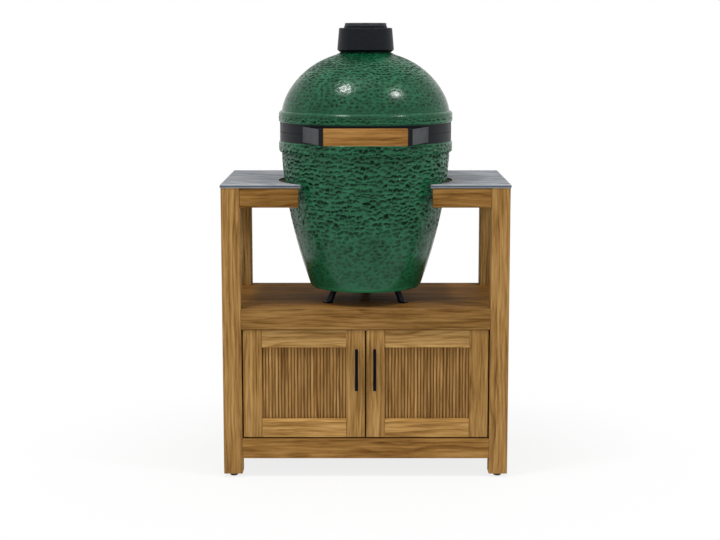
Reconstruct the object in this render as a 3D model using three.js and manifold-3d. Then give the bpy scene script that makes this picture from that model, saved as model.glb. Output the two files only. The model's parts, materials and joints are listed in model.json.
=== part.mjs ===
// Kamado grill table: a teak cabinet table with a stone worktop, and an egg-shaped
// ceramic charcoal grill that stands on its shelf and rises through the worktop.
// Millimetres, +Z up, front towards -Y. The origin is on the floor under the grill's axis.

import * as THREE from 'three';
import { mergeVertices } from 'three/addons/utils/BufferGeometryUtils.js';
import Module from 'manifold-3d';

const wasm = await Module();
wasm.setup();

// Table
const tableWidth = 872;
const tableDepth = 526;
const tableHeight = 900;
const grillSetback = 188;
const worktopThickness = 10.5;
const worktopOverhang = 2;
const cutoutRadius = 269.5;
const legSide = 57;
const glideRadius = 12;
const glideHeight = 11;
const glideEdge = 2;
const edgeEase = 2.5;
const railThickness = 26;
const topRailHeight = 59;
const frontStubGap = 403;

// Shelf and cabinet
const shelfBelowTop = 377;
const shelfThickness = 20;
const shelfRailHeight = 63;
const baseRailTop = 121;
const baseRailHeight = 61.5;
const floorThickness = 15;
const ledgeWidth = 12;
const ledgeHeight = 18;
const infillThickness = 12;

// Doors
const doorThickness = 21.5;
const doorRecess = 4;
const doorSideGap = 4.5;
const doorCentreGap = 4;
const doorBottomGap = 4.5;
const doorTopGap = 2.5;
const stileWidth = 57.5;
const doorTopRailHeight = 53;
const doorBottomRailHeight = 57;
const mouldingWidth = 8;
const mouldingDepth = 5;
const mouldingCornerRadius = 2;
const rebateWidth = 8;
const panelThickness = 10;
const reedCount = 26;
const reedHeight = 3.6;
const reedGroove = 2.2;
const pivotInset = 14;
const pivotRadius = 4;
const pivotDepth = 15;
const pivotCollarRadius = 7;
const handleBar = 9.5;
const handleLength = 128;
const handleStandoff = 25;
const handlePostInset = 14;
const handleFromEdge = 25.5;
const handleCentreShare = 0.6416;
const catchWidth = 50;
const catchDepth = 14;
const catchHeight = 40;

// Nest under the grill
const nestHeight = 45;
const nestRingInner = 100;
const nestRingOuter = 122;
const nestPlate = 6;
const nestLegWidth = 26;
const nestLegThickness = 7;
const nestFootRadius = 129;
const nestPadReach = 16;
const nestPadThickness = 4;
const nestLegCount = 3;

// Ceramic shell, heights above the foot of the base
const footRadius = 155;
const footCornerRadius = 173;
const footCornerHeight = 11;
const seamHeight = 482;
const flangeRadius = 267.5;
const baseFlangeBottom = 427;
const baseFlangeRound = 8;
const lidFlangeTop = 536;
const lidFlangeRound = 10;
const flangeLip = 3;
const wallThickness = 24;
const baseFloorThickness = 28;
const rimGap = 3.6;
const domeRadiusAtNeck = 109.4;
const domeHeightAtNeck = 709;
const neckRadius = 78;
const neckRise = 12.7;
const neckEase = 3;
const chimneyHole = 69;
const shellFacets = 48;
const gasketWidth = 21;

// Bands, rear hinge and lid handle
const bandHeight = 27.4;
const bandThickness = 2;
const bandGap = 1.2;
const bandToFlange = 2;
const bandSeatDepth = 6;
const bracketThickness = 3;
const bracketMargin = 1.2;
const hingePlateAngle = 20;
const hingeSetback = 20;
const hingeEyeRadius = 13;
const hingePinRadius = 5;
const hingePinHead = 3;
const hingeLugThickness = 6;
const hingeLugGap = 2;
const hingeSpringSpace = 72;
const springWire = 3;
const springMeanRadius = 9.5;
const springCurls = 14;
const springStepsPerCurl = 8;
const springSides = 5;
const armRootAngle = 43.9;
const armFlangeAngle = 6.6;
const armThickness = 4;
const armHeight = 46;
const gripLength = 246;
const gripHeight = 50;
const gripThickness = 18;
const gripReach = 338;
const gripEase = 3;
const gripEndBlock = 12.5;

// Chimney collar, vent cap and vent wheel
const collarWideRadius = 86.8;
const collarBevelHeight = 8;
const collarBore = 62;
const collarSleeveDepth = 20;
const collarHeight = 74;
const collarTopRadius = 81.5;
const collarTopEase = 3;
const capRadius = 66;
const capThickness = 4.5;
const capEarRadius = 8.5;
const capPinRadius = 3;
const capPinReach = 72.5;
const wheelRadius = 64.5;
const wheelHeight = 9.9;
const wheelEdge = 4;
const wheelRimWidth = 12;
const wheelPlate = 5;
const wheelHubRadius = 12;
const wheelAxleRadius = 5;
const portCount = 6;
const portInner = 18;
const portOuter = 44;
const portHalfAngle = 11;
const scallopCount = 8;
const scallopHalfWidth = 17;
const scallopHalfHeight = 3.2;
const scallopDepth = 2.4;
const ventFacets = 32;

// Air inlet at the back of the base
const inletWidth = 84;
const inletBottom = 36;
const inletHeight = 36;
const trackMargin = 12;
const trackSkin = 2;
const trackLip = 4;
const trackRail = 5;
const trackDepth = 8;
const trackStart = -20;
const trackEnd = 50;
const draftDoorAngle = 15.5;
const draftDoorThickness = 2.2;
const draftDoorClearance = 0.45;
const pullTabHeight = 20;
const pullTabReach = 10;
const pullTabAngle = 1;

// Fire box, fire ring, grate and grid inside
const innerFacets = 32;
const fireBoxFoot = 138;
const fireBoxTopRadius = 200;
const fireBoxTop = 300;
const fireBoxWall = 19;
const fireBoxBore = 105;
const grateLedgeHeight = 112;
const grateThickness = 8;
const grateSlotWidth = 9;
const grateSlotPitch = 19;
const grateRimWidth = 16;
const fireRingTop = 452;
const fireRingTopRadius = 226;
const gridRadius = 216;
const gridRod = 6;
const gridPitch = 21;
const gridRodLift = 3.7;
const gridRodEnd = 1.5;
const gridSides = 6;

// Clearance between pieces, and how far a cutter runs past what it cuts
const runningGap = 0.3;
const overrun = 4;

// How finely round forms are drawn
const smallFacets = 16;
const roundSteps = 3;
const wedgeSteps = 4;
const cutoutSteps = 44;
const eyeFacets = 24;
const baseSteps = 9;
const baseInsideSteps = 5;
const domeSteps = 10;
const domeInsideSteps = 6;
const scallopFacets = 8;

// Places worked out from the sizes above
const frontY = -grillSetback;
const backY = frontY + tableDepth;
const legOuterX = tableWidth / 2 - worktopOverhang;
const legInnerX = legOuterX - legSide;
const legFrontY = frontY + worktopOverhang;
const legBackY = backY - worktopOverhang;
const frontLegInnerY = legFrontY + legSide;
const backLegInnerY = legBackY - legSide;
const legTop = tableHeight - worktopThickness;
const shelfHeight = tableHeight - shelfBelowTop;
const railFrontInnerY = legFrontY + railThickness;
const railBackInnerY = legBackY - railThickness;
const railInnerX = legOuterX - railThickness;
const doorBottom = baseRailTop + doorBottomGap;
const doorTop = shelfHeight - shelfRailHeight - doorTopGap;
const doorFrontY = legFrontY + doorRecess;
const doorBackY = doorFrontY + doorThickness;
const doorOuterX = legInnerX - doorSideGap;
const doorInnerX = doorCentreGap / 2;
const pivotX = doorOuterX - pivotInset;
const pivotY = doorFrontY + doorThickness / 2;
const bandSeatRadius = flangeRadius - bandSeatDepth;
const bandInner = bandSeatRadius + runningGap;
const bandOuter = bandInner + bandThickness;
const bracketInner = bandOuter + runningGap;
const bracketOuter = bracketInner + bracketThickness;
const neckHeight = domeHeightAtNeck + neckRise;
const baseRim = seamHeight - rimGap / 2;
const lidRim = seamHeight + rimGap / 2;
const lowerBandTop = seamHeight - bandGap / 2;
const lowerBandBottom = lowerBandTop - bandHeight;
const upperBandBottom = seamHeight + bandGap / 2;
const upperBandTop = upperBandBottom + bandHeight;
const hingeY = bracketOuter + hingeSetback;
const collarTop = neckHeight + runningGap + collarHeight;

// Materials
function finish(color, roughness, metalness) {
  return new THREE.MeshStandardMaterial({ color, roughness, metalness });
}
const teak = finish(0x9a6c3a, 0.55, 0);
const stone = finish(0x7f848c, 0.5, 0);
const greenGlaze = finish(0x17502f, 0.18, 0);
const fireClay = finish(0xb9a58a, 0.9, 0);
const blackSteel = finish(0x1d1f22, 0.5, 0.4);
const darkSteel = finish(0x3a3c42, 0.45, 0.5);
const castIron = finish(0x24262a, 0.6, 0.5);
const brushedSteel = finish(0x9a9c9e, 0.35, 1);
const felt = finish(0x2c2b2a, 0.95, 0);
const blackPlastic = finish(0x111111, 0.6, 0);

// Geometry helpers

// Shared corners, no zero-area faces, and faces that point outwards.
function closedMesh(geometry) {
  const bare = new THREE.BufferGeometry();
  const index = geometry.index ? geometry.index.clone() : null;
  bare.setAttribute('position', geometry.getAttribute('position').clone());
  bare.setIndex(index);
  const merged = mergeVertices(bare);
  const position = merged.getAttribute('position');
  const corners = merged.index.array;
  const kept = [];
  const a = new THREE.Vector3();
  const b = new THREE.Vector3();
  const c = new THREE.Vector3();
  let volume = 0;
  for (let i = 0; i < corners.length; i += 3) {
    const [p, q, r] = [corners[i], corners[i + 1], corners[i + 2]];
    if (p === q || q === r || r === p) continue;
    a.fromBufferAttribute(position, p);
    b.fromBufferAttribute(position, q);
    c.fromBufferAttribute(position, r);
    volume += a.dot(b.cross(c)) / 6;
    kept.push(p, q, r);
  }
  if (volume < 0) kept.reverse();
  merged.setIndex(kept);
  return merged;
}

function solidOf(geometry) {
  const mesh = closedMesh(geometry);
  const vertProperties = new Float32Array(mesh.getAttribute('position').array);
  const triVerts = new Uint32Array(mesh.index.array);
  return new wasm.Manifold(new wasm.Mesh({ numProp: 3, vertProperties, triVerts }));
}

function geometryOf(solid) {
  const mesh = solid.getMesh();
  const geometry = new THREE.BufferGeometry();
  geometry.setAttribute('position', new THREE.BufferAttribute(new Float32Array(mesh.vertProperties), 3));
  geometry.setIndex(Array.from(mesh.triVerts));
  return geometry;
}

function cut(geometry, ...cutters) {
  return geometryOf(cutters.reduce((solid, cutter) => solid.subtract(solidOf(cutter)), solidOf(geometry)));
}

function join(geometry, ...others) {
  return geometryOf(others.reduce((solid, other) => solid.add(solidOf(other)), solidOf(geometry)));
}

function common(geometry, region) {
  return geometryOf(solidOf(geometry).intersect(solidOf(region)));
}

// A closed outline of [u, v] points drawn out between two places on an axis.
function prism(outline, from, to, axis) {
  const shape = new THREE.Shape(outline.map(([u, v]) => new THREE.Vector2(u, v)));
  const geometry = new THREE.ExtrudeGeometry(shape, { depth: to - from, bevelEnabled: false });
  if (axis === 'x') {
    const alongX = new THREE.Matrix4();
    alongX.makeBasis(new THREE.Vector3(0, 1, 0), new THREE.Vector3(0, 0, 1), new THREE.Vector3(1, 0, 0));
    geometry.applyMatrix4(alongX);
    return geometry.translate(from, 0, 0);
  }
  if (axis === 'y') {
    geometry.rotateX(Math.PI / 2);
    return geometry.translate(0, to, 0);
  }
  return geometry.translate(0, 0, from);
}

// A rectangle whose four corners are eased by a small flat.
function easedRectangle(u0, u1, v0, v1, ease = edgeEase) {
  return [
    [u0 + ease, v0], [u1 - ease, v0], [u1, v0 + ease], [u1, v1 - ease],
    [u1 - ease, v1], [u0 + ease, v1], [u0, v1 - ease], [u0, v0 + ease],
  ];
}

function block(x0, x1, y0, y1, z0, z1) {
  const geometry = new THREE.BoxGeometry(x1 - x0, y1 - y0, z1 - z0);
  return geometry.translate((x0 + x1) / 2, (y0 + y1) / 2, (z0 + z1) / 2);
}

// A profile of [radius, height] points turned about the Z axis.
function turned(profile, facets) {
  const points = profile.map(([radius, height]) => new THREE.Vector2(radius, height));
  return new THREE.LatheGeometry(points, facets).rotateX(Math.PI / 2);
}

function turnedRing(profile, facets) {
  return turned([...profile, profile[0]], facets);
}

function cylinder(radius, z0, z1, facets = smallFacets) {
  return turned([[0, z0], [radius, z0], [radius, z1], [0, z1]], facets);
}

// Points on a quarter round from one [radius, height] point to the next.
function quarterRound(centre, radius, startAngle, endAngle, steps = roundSteps) {
  const points = [];
  for (let i = 0; i <= steps; i += 1) {
    const angle = startAngle + ((endAngle - startAngle) * i) / steps;
    points.push([centre[0] + radius * Math.cos(angle), centre[1] + radius * Math.sin(angle)]);
  }
  return points;
}

function curvePoints(start, startHandle, endHandle, end, steps) {
  const corners = [start, startHandle, endHandle, end].map(([u, v]) => new THREE.Vector2(u, v));
  const curve = new THREE.CubicBezierCurve(...corners);
  return curve.getPoints(steps).map((point) => [point.x, point.y]);
}

// A wedge about the Z axis between two angles measured from +Y towards -X, in degrees.
function wedge(fromAngle, toAngle, reach, z0, z1) {
  const outline = [[0, 0]];
  for (let i = 0; i <= wedgeSteps; i += 1) {
    const angle = THREE.MathUtils.degToRad(fromAngle + ((toAngle - fromAngle) * i) / wedgeSteps);
    outline.push([-reach * Math.sin(angle), reach * Math.cos(angle)]);
  }
  return prism(outline, z0, z1, 'z');
}

// Rings of points with the same count, skinned and capped at both ends.
function loft(rings) {
  const count = rings[0].length;
  const positions = rings.flat(2);
  const faces = [];
  for (let ring = 0; ring + 1 < rings.length; ring += 1) {
    for (let i = 0; i < count; i += 1) {
      const next = (i + 1) % count;
      const low = ring * count;
      const high = low + count;
      faces.push(low + i, low + next, high + next);
      faces.push(low + i, high + next, high + i);
    }
  }
  const last = (rings.length - 1) * count;
  for (let i = 1; i + 1 < count; i += 1) {
    faces.push(0, i + 1, i);
    faces.push(last, last + i, last + i + 1);
  }
  const geometry = new THREE.BufferGeometry();
  geometry.setAttribute('position', new THREE.Float32BufferAttribute(positions, 3));
  geometry.setIndex(faces);
  return geometry;
}

function piece(group, name, geometry, material) {
  const closed = closedMesh(geometry);
  closed.computeVertexNormals();
  const mesh = new THREE.Mesh(closed, material);
  mesh.name = name;
  group.add(mesh);
  return mesh;
}

const sides = [['left', -1], ['right', 1]];
const grillTable = new THREE.Group();

// Legs and glides
const frame = new THREE.Group();
grillTable.add(frame);
const legRows = [['front', legFrontY + legSide / 2], ['rear', legBackY - legSide / 2]];
for (const [row, y] of legRows) {
  for (const [side, sign] of sides) {
    const x = sign * (legOuterX - legSide / 2);
    const outline = easedRectangle(-legSide / 2, legSide / 2, -legSide / 2, legSide / 2);
    const leg = piece(frame, `leg_${row}_${side}`, prism(outline, glideHeight, legTop, 'z'), teak);
    leg.position.set(x, y, 0);
    const glideProfile = [
      [0, 0], [glideRadius - glideEdge, 0], [glideRadius, glideEdge],
      [glideRadius, glideHeight], [0, glideHeight],
    ];
    const glide = piece(frame, `glide_${row}_${side}`, turned(glideProfile, smallFacets), blackPlastic);
    glide.position.set(x, y, 0);
  }
}

// Worktop: a stone slab whose round cut-out runs out through the front edge
function worktop() {
  const half = tableWidth / 2;
  const mouthX = Math.sqrt(cutoutRadius ** 2 - frontY ** 2);
  const mouthAngle = Math.atan2(frontY, mouthX);
  const shape = new THREE.Shape();
  shape.moveTo(mouthX, frontY);
  shape.lineTo(half, frontY);
  shape.lineTo(half, backY);
  shape.lineTo(-half, backY);
  shape.lineTo(-half, frontY);
  shape.lineTo(-mouthX, frontY);
  shape.absarc(0, 0, cutoutRadius, Math.PI - mouthAngle, mouthAngle, true);
  const settings = { depth: worktopThickness, bevelEnabled: false, curveSegments: cutoutSteps };
  return new THREE.ExtrudeGeometry(shape, settings).translate(0, 0, legTop);
}
piece(frame, 'worktop', worktop(), stone);

// Rails under the worktop
const railBottom = legTop - topRailHeight;
for (const [side, sign] of sides) {
  const frontOutline = easedRectangle(legFrontY, railFrontInnerY, railBottom, legTop);
  const [stubFrom, stubTo] = [sign * frontStubGap / 2, sign * legInnerX].sort((a, b) => a - b);
  piece(frame, `top_rail_front_${side}`, prism(frontOutline, stubFrom, stubTo, 'x'), teak);
  const [sideFrom, sideTo] = [sign * railInnerX, sign * legOuterX].sort((a, b) => a - b);
  const sideOutline = easedRectangle(sideFrom, sideTo, railBottom, legTop);
  piece(frame, `top_rail_${side}`, prism(sideOutline, frontLegInnerY, backLegInnerY, 'y'), teak);
}
const rearOutline = easedRectangle(railBackInnerY, legBackY, railBottom, legTop);
piece(frame, 'top_rail_rear', prism(rearOutline, -legInnerX, legInnerX, 'x'), teak);

// Shelf and cabinet floor: boards notched round the four legs
const cabinet = new THREE.Group();
grillTable.add(cabinet);
function notchedBoard(bottom, top) {
  const outline = [
    [-legInnerX, railFrontInnerY], [legInnerX, railFrontInnerY],
    [legInnerX, frontLegInnerY], [railInnerX, frontLegInnerY],
    [railInnerX, backLegInnerY], [legInnerX, backLegInnerY],
    [legInnerX, railBackInnerY], [-legInnerX, railBackInnerY],
    [-legInnerX, backLegInnerY], [-railInnerX, backLegInnerY],
    [-railInnerX, frontLegInnerY], [-legInnerX, frontLegInnerY],
  ];
  return prism(outline, bottom, top, 'z');
}
piece(cabinet, 'shelf', notchedBoard(shelfHeight - shelfThickness, shelfHeight), teak);
piece(cabinet, 'cabinet_floor', notchedBoard(baseRailTop - floorThickness, baseRailTop), teak);

// A rail seen end-on, with a ledge inside that carries the board whose underside is given.
function railWithLedge(outer, inner, bottom, top, boardUnderside) {
  const inward = Math.sign(inner - outer);
  const lip = inner + inward * ledgeWidth;
  return [
    [outer, bottom], [inner, bottom], [inner, boardUnderside - ledgeHeight],
    [lip, boardUnderside - ledgeHeight], [lip, boardUnderside], [inner, boardUnderside],
    [inner, top], [outer, top],
  ];
}
const shelfRailBottom = shelfHeight - shelfRailHeight;
const baseRailBottom = baseRailTop - baseRailHeight;
const shelfUnderside = shelfHeight - shelfThickness;
const floorUnderside = baseRailTop - floorThickness;

function pivotHole(sign, z0, z1) {
  return cylinder(pivotRadius + runningGap, z0, z1).translate(sign * pivotX, pivotY, 0);
}
function frontRail(bottom, top, boardUnderside, holeFrom, holeTo) {
  const outline = railWithLedge(legFrontY, railFrontInnerY, bottom, top, boardUnderside);
  const rail = prism(outline, -legInnerX, legInnerX, 'x');
  return cut(rail, pivotHole(-1, holeFrom, holeTo), pivotHole(1, holeFrom, holeTo));
}
const holeDepth = pivotDepth + runningGap;
const shelfRail = frontRail(shelfRailBottom, shelfHeight, shelfUnderside,
  shelfRailBottom - overrun, shelfRailBottom + holeDepth);
piece(cabinet, 'shelf_rail_front', shelfRail, teak);
const baseRail = frontRail(baseRailBottom, baseRailTop, floorUnderside,
  baseRailTop - holeDepth, baseRailTop + overrun);
piece(cabinet, 'base_rail_front', baseRail, teak);

// Cabinet sides and back: an upper and a lower rail with a thinner board between them
function cabinetWall(outer, inner) {
  const inward = Math.sign(inner - outer);
  const middle = (outer + inner) / 2;
  const skinOut = middle - inward * infillThickness / 2;
  const skinIn = middle + inward * infillThickness / 2;
  const lip = inner + inward * ledgeWidth;
  return [
    [outer, baseRailBottom], [inner, baseRailBottom],
    [inner, floorUnderside - ledgeHeight], [lip, floorUnderside - ledgeHeight],
    [lip, floorUnderside], [inner, floorUnderside],
    [inner, baseRailTop], [skinIn, baseRailTop], [skinIn, shelfRailBottom],
    [inner, shelfRailBottom], [inner, shelfUnderside - ledgeHeight],
    [lip, shelfUnderside - ledgeHeight], [lip, shelfUnderside], [inner, shelfUnderside],
    [inner, shelfHeight], [outer, shelfHeight], [outer, shelfRailBottom],
    [skinOut, shelfRailBottom], [skinOut, baseRailTop], [outer, baseRailTop],
  ];
}
for (const [side, sign] of sides) {
  const outline = cabinetWall(sign * legOuterX, sign * railInnerX);
  piece(cabinet, `cabinet_side_${side}`, prism(outline, frontLegInnerY, backLegInnerY, 'y'), teak);
}
const backOutline = cabinetWall(legBackY, railBackInnerY);
piece(cabinet, 'cabinet_back', prism(backOutline, -legInnerX, legInnerX, 'x'), teak);

// Magnetic catch behind the meeting stiles, on the back of the shelf rail
const catchTop = shelfUnderside - ledgeHeight;
const catchBlock = block(-catchWidth / 2, catchWidth / 2,
  railFrontInnerY, railFrontInnerY + catchDepth, catchTop - catchHeight, catchTop);
piece(cabinet, 'door_catch', catchBlock, blackPlastic);

// Doors, drawn about their pivot line with the free edge towards -X or +X
const openingBottom = doorBottom + doorBottomRailHeight;
const openingTop = doorTop - doorTopRailHeight;

// A rounded rectangle in the XZ plane at a given depth.
function roundedWindow(x0, x1, z0, z1, radius, y) {
  const points = [];
  const centres = [
    [x1 - radius, z0 + radius, -Math.PI / 2], [x1 - radius, z1 - radius, 0],
    [x0 + radius, z1 - radius, Math.PI / 2], [x0 + radius, z0 + radius, Math.PI],
  ];
  for (const [x, z, start] of centres) {
    for (const [u, v] of quarterRound([x, z], radius, start, start + Math.PI / 2)) {
      points.push([u, y, v]);
    }
  }
  return points;
}

// Cutter that leaves a rounded moulding round the panel opening.
function mouldingCutter(x0, x1) {
  const rings = [];
  for (let i = 0; i <= roundSteps; i += 1) {
    const angle = (i / roundSteps) * Math.PI / 2;
    const spread = mouldingWidth * (1 - Math.sin(angle));
    const y = mouldingDepth * (1 - Math.cos(angle));
    const window = roundedWindow(x0 - spread, x1 + spread, openingBottom - spread,
      openingTop + spread, mouldingCornerRadius + spread, doorFrontY + y);
    rings.push(window);
  }
  const front = rings[0].map(([x, y, z]) => [x, y - overrun, z]);
  const back = rings[roundSteps].map(([x, y, z]) => [x, doorBackY + overrun, z]);
  return loft([front, ...rings, back]);
}

// Reeded panel: half-round reeds in front of a plate that sits in the frame's rebate.
function reededPanel(x0, x1) {
  const pitch = (x1 - x0) / reedCount;
  const plateFront = doorBackY - panelThickness;
  const outline = [[x1, plateFront + panelThickness / 2], [x0, plateFront + panelThickness / 2]];
  const reedWidth = pitch - reedGroove;
  const crestShares = [[0, 0], [0.12, 0.6], [0.35, 0.95], [0.65, 0.95], [0.88, 0.6], [1, 0]];
  for (let i = 0; i < reedCount; i += 1) {
    const start = x0 + i * pitch + reedGroove / 2;
    for (const [along, out] of crestShares) {
      outline.push([start + along * reedWidth, plateFront - out * reedHeight]);
    }
  }
  const reeds = prism(outline, openingBottom + runningGap, openingTop - runningGap, 'z');
  const spread = rebateWidth - runningGap;
  const plate = block(x0 - spread, x1 + spread, plateFront, doorBackY,
    openingBottom - spread, openingTop + spread);
  return join(plate, reeds);
}

for (const [side, sign] of sides) {
  const hung = new THREE.Group();
  hung.position.set(sign * pivotX, 0, 0);
  cabinet.add(hung);
  const across = (x) => sign * (x - pivotX);
  const span = (xa, xb) => [across(xa), across(xb)].sort((a, b) => a - b);
  const [window0, window1] = span(doorInnerX + stileWidth, doorOuterX - stileWidth);
  const moulding = mouldingCutter(window0, window1);
  const rebate = block(window0 - rebateWidth, window1 + rebateWidth,
    doorBackY - panelThickness - runningGap, doorBackY + overrun,
    openingBottom - rebateWidth, openingTop + rebateWidth);
  const holes = [
    cylinder(pivotRadius + runningGap, doorBottom - overrun, doorBottom + holeDepth),
    cylinder(pivotRadius + runningGap, doorTop - holeDepth, doorTop + overrun),
  ].map((hole) => hole.translate(0, pivotY, 0));

  const [hinge0, hinge1] = span(doorOuterX - stileWidth, doorOuterX);
  const hingeOutline = easedRectangle(hinge0, hinge1, doorFrontY, doorBackY, edgeEase / 2);
  const hingeStile = cut(prism(hingeOutline, doorBottom, doorTop, 'z'), moulding, rebate, ...holes);
  piece(hung, `${side}_door_hinge_stile`, hingeStile, teak);
  const [meet0, meet1] = span(doorInnerX, doorInnerX + stileWidth);
  const meetOutline = easedRectangle(meet0, meet1, doorFrontY, doorBackY, edgeEase / 2);
  const meetingStile = cut(prism(meetOutline, doorBottom, doorTop, 'z'), moulding, rebate);
  piece(hung, `${side}_door_meeting_stile`, meetingStile, teak);
  const topRail = block(window0, window1, doorFrontY, doorBackY, openingTop, doorTop);
  piece(hung, `${side}_door_top_rail`, cut(topRail, moulding, rebate), teak);
  const bottomRail = block(window0, window1, doorFrontY, doorBackY, doorBottom, openingBottom);
  piece(hung, `${side}_door_bottom_rail`, cut(bottomRail, moulding, rebate), teak);
  piece(hung, `${side}_door_panel`, reededPanel(window0, window1), teak);

  // Square bar handle on two posts
  const [bar0, bar1] = span(doorInnerX + handleFromEdge - handleBar / 2,
    doorInnerX + handleFromEdge + handleBar / 2);
  const barFront = doorFrontY - handleStandoff;
  const handleCentre = doorBottom + handleCentreShare * (doorTop - doorBottom);
  const low = handleCentre - handleLength / 2;
  const high = handleCentre + handleLength / 2;
  const postLow = low + handlePostInset;
  const postHigh = high - handlePostInset;
  const handleOutline = [
    [barFront, low], [barFront + handleBar, low],
    [barFront + handleBar, postLow], [doorFrontY, postLow],
    [doorFrontY, postLow + handleBar], [barFront + handleBar, postLow + handleBar],
    [barFront + handleBar, postHigh - handleBar], [doorFrontY, postHigh - handleBar],
    [doorFrontY, postHigh], [barFront + handleBar, postHigh],
    [barFront + handleBar, high], [barFront, high],
  ];
  piece(hung, `${side}_door_handle`, prism(handleOutline, bar0, bar1, 'x'), blackSteel);

  // Pivot pins fixed in the rails; the lower one has a collar that carries the door
  const lowerPin = [
    [0, baseRailTop - pivotDepth], [pivotRadius, baseRailTop - pivotDepth],
    [pivotRadius, baseRailTop], [pivotCollarRadius, baseRailTop],
    [pivotCollarRadius, doorBottom - runningGap], [pivotRadius, doorBottom - runningGap],
    [pivotRadius, doorBottom + pivotDepth], [0, doorBottom + pivotDepth],
  ];
  const pinLower = piece(cabinet, `${side}_door_pin_lower`, turned(lowerPin, smallFacets), brushedSteel);
  pinLower.position.set(sign * pivotX, pivotY, 0);
  const upperPin = cylinder(pivotRadius, doorTop - pivotDepth, shelfRailBottom + pivotDepth);
  const pinUpper = piece(cabinet, `${side}_door_pin_upper`, upperPin, brushedSteel);
  pinUpper.position.set(sign * pivotX, pivotY, 0);
}

// Grill: its own group, with heights measured from the foot of the ceramic base
const grill = new THREE.Group();
grill.position.set(0, 0, shelfHeight + nestHeight);
grillTable.add(grill);

// Nest: a flat ring on three splayed flat legs
function nest() {
  const ringProfile = [
    [nestRingInner, -nestPlate], [nestRingOuter, -nestPlate],
    [nestRingOuter, -runningGap], [nestRingInner, -runningGap],
  ];
  const ring = turnedRing(ringProfile, innerFacets);
  const legTopRadius = (nestRingInner + nestRingOuter) / 2 - nestLegThickness / 2;
  const footBottom = -nestHeight + runningGap;
  const footTop = footBottom + nestPadThickness;
  const outline = [
    [legTopRadius, -nestPlate / 2], [nestFootRadius - nestLegThickness / 2, footBottom],
    [nestFootRadius + nestPadReach, footBottom], [nestFootRadius + nestPadReach, footTop],
    [nestFootRadius + nestLegThickness / 2, footTop],
    [legTopRadius + nestLegThickness, -nestPlate / 2],
  ];
  const legs = [];
  for (let i = 0; i < nestLegCount; i += 1) {
    const leg = prism(outline, -nestLegWidth / 2, nestLegWidth / 2, 'y');
    legs.push(leg.rotateZ(Math.PI / 2 + (i * 2 * Math.PI) / nestLegCount));
  }
  return join(ring, ...legs);
}
piece(grill, 'nest', nest(), blackSteel);

// Outside of the base, from the foot to the flange, as a curve
const flangeUnderRadius = flangeRadius - baseFlangeRound;
const flangeUnderHeight = baseFlangeBottom - baseFlangeRound;
const baseLowerHandleShare = [0.53, 0.325];
const baseUpperHandleShare = [0.92, 0.655];
const footBendShare = [0.667, 0.167];
function between(start, end, share) {
  return [start[0] + share[0] * (end[0] - start[0]), start[1] + share[1] * (end[1] - start[1])];
}
function baseCurve(start, end, steps) {
  const low = between(start, end, baseLowerHandleShare);
  const high = between(start, end, baseUpperHandleShare);
  return curvePoints(start, low, high, end, steps);
}
const baseOuter = baseCurve([footCornerRadius, footCornerHeight],
  [flangeUnderRadius, flangeUnderHeight], baseSteps);

function baseShell() {
  const footBend = between([footRadius, 0], baseOuter[0], footBendShare);
  const rimInner = bandSeatRadius - wallThickness;
  const innerFoot = [footCornerRadius - wallThickness, baseFloorThickness + footCornerHeight];
  const innerTop = [flangeUnderRadius - wallThickness, flangeUnderHeight];
  const bandSeatBottom = lowerBandBottom - bandToFlange;
  const profile = [
    [0, 0], [footRadius, 0], footBend, ...baseOuter,
    ...quarterRound([flangeUnderRadius, baseFlangeBottom], baseFlangeRound, -Math.PI / 2, 0).slice(1),
    [flangeRadius, bandSeatBottom - flangeLip], [flangeRadius - flangeLip, bandSeatBottom],
    [bandSeatRadius, bandSeatBottom], [bandSeatRadius, baseRim],
    [rimInner, baseRim], ...baseCurve(innerFoot, innerTop, baseInsideSteps).reverse(),
    [innerFoot[0] - footCornerHeight, baseFloorThickness], [0, baseFloorThickness],
  ];
  const inlet = block(-inletWidth / 2, inletWidth / 2, fireBoxBore, footCornerRadius * 2,
    inletBottom, inletBottom + inletHeight);
  return cut(turned(profile, shellFacets), inlet);
}
piece(grill, 'base_shell', baseShell(), greenGlaze);

// Lid: dome and neck, one ceramic shell with a round hole at its top
const lid = new THREE.Group();
grill.add(lid);
const domeLowerHandleShare = [0.045, 0.319];
const domeUpperHandleShare = [0.381, 0.791];
function domeCurve(start, end, steps) {
  const low = between(start, end, domeLowerHandleShare);
  const high = between(start, end, domeUpperHandleShare);
  return curvePoints(start, low, high, end, steps);
}
function lidShell() {
  const domeFoot = [flangeRadius - lidFlangeRound, lidFlangeTop + lidFlangeRound];
  const domeEnd = [domeRadiusAtNeck, domeHeightAtNeck];
  const neckBend = [(domeRadiusAtNeck + neckRadius) / 2 - neckEase, (domeHeightAtNeck + neckHeight) / 2];
  const innerFoot = [domeFoot[0] - wallThickness, domeFoot[1]];
  const innerTop = [chimneyHole, neckHeight - wallThickness];
  const bandSeatTop = upperBandTop + bandToFlange;
  const profile = [
    [bandSeatRadius - wallThickness, lidRim], [bandSeatRadius, lidRim],
    [bandSeatRadius, bandSeatTop], [flangeRadius - flangeLip, bandSeatTop],
    [flangeRadius, bandSeatTop + flangeLip],
    ...quarterRound([flangeRadius - lidFlangeRound, lidFlangeTop], lidFlangeRound, 0, Math.PI / 2),
    ...domeCurve(domeFoot, domeEnd, domeSteps).slice(1),
    neckBend, [neckRadius, neckHeight], [chimneyHole, neckHeight],
    ...domeCurve(innerFoot, innerTop, domeInsideSteps).reverse(),
  ];
  return turnedRing(profile, shellFacets);
}
piece(lid, 'lid_shell', lidShell(), greenGlaze);

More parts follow.
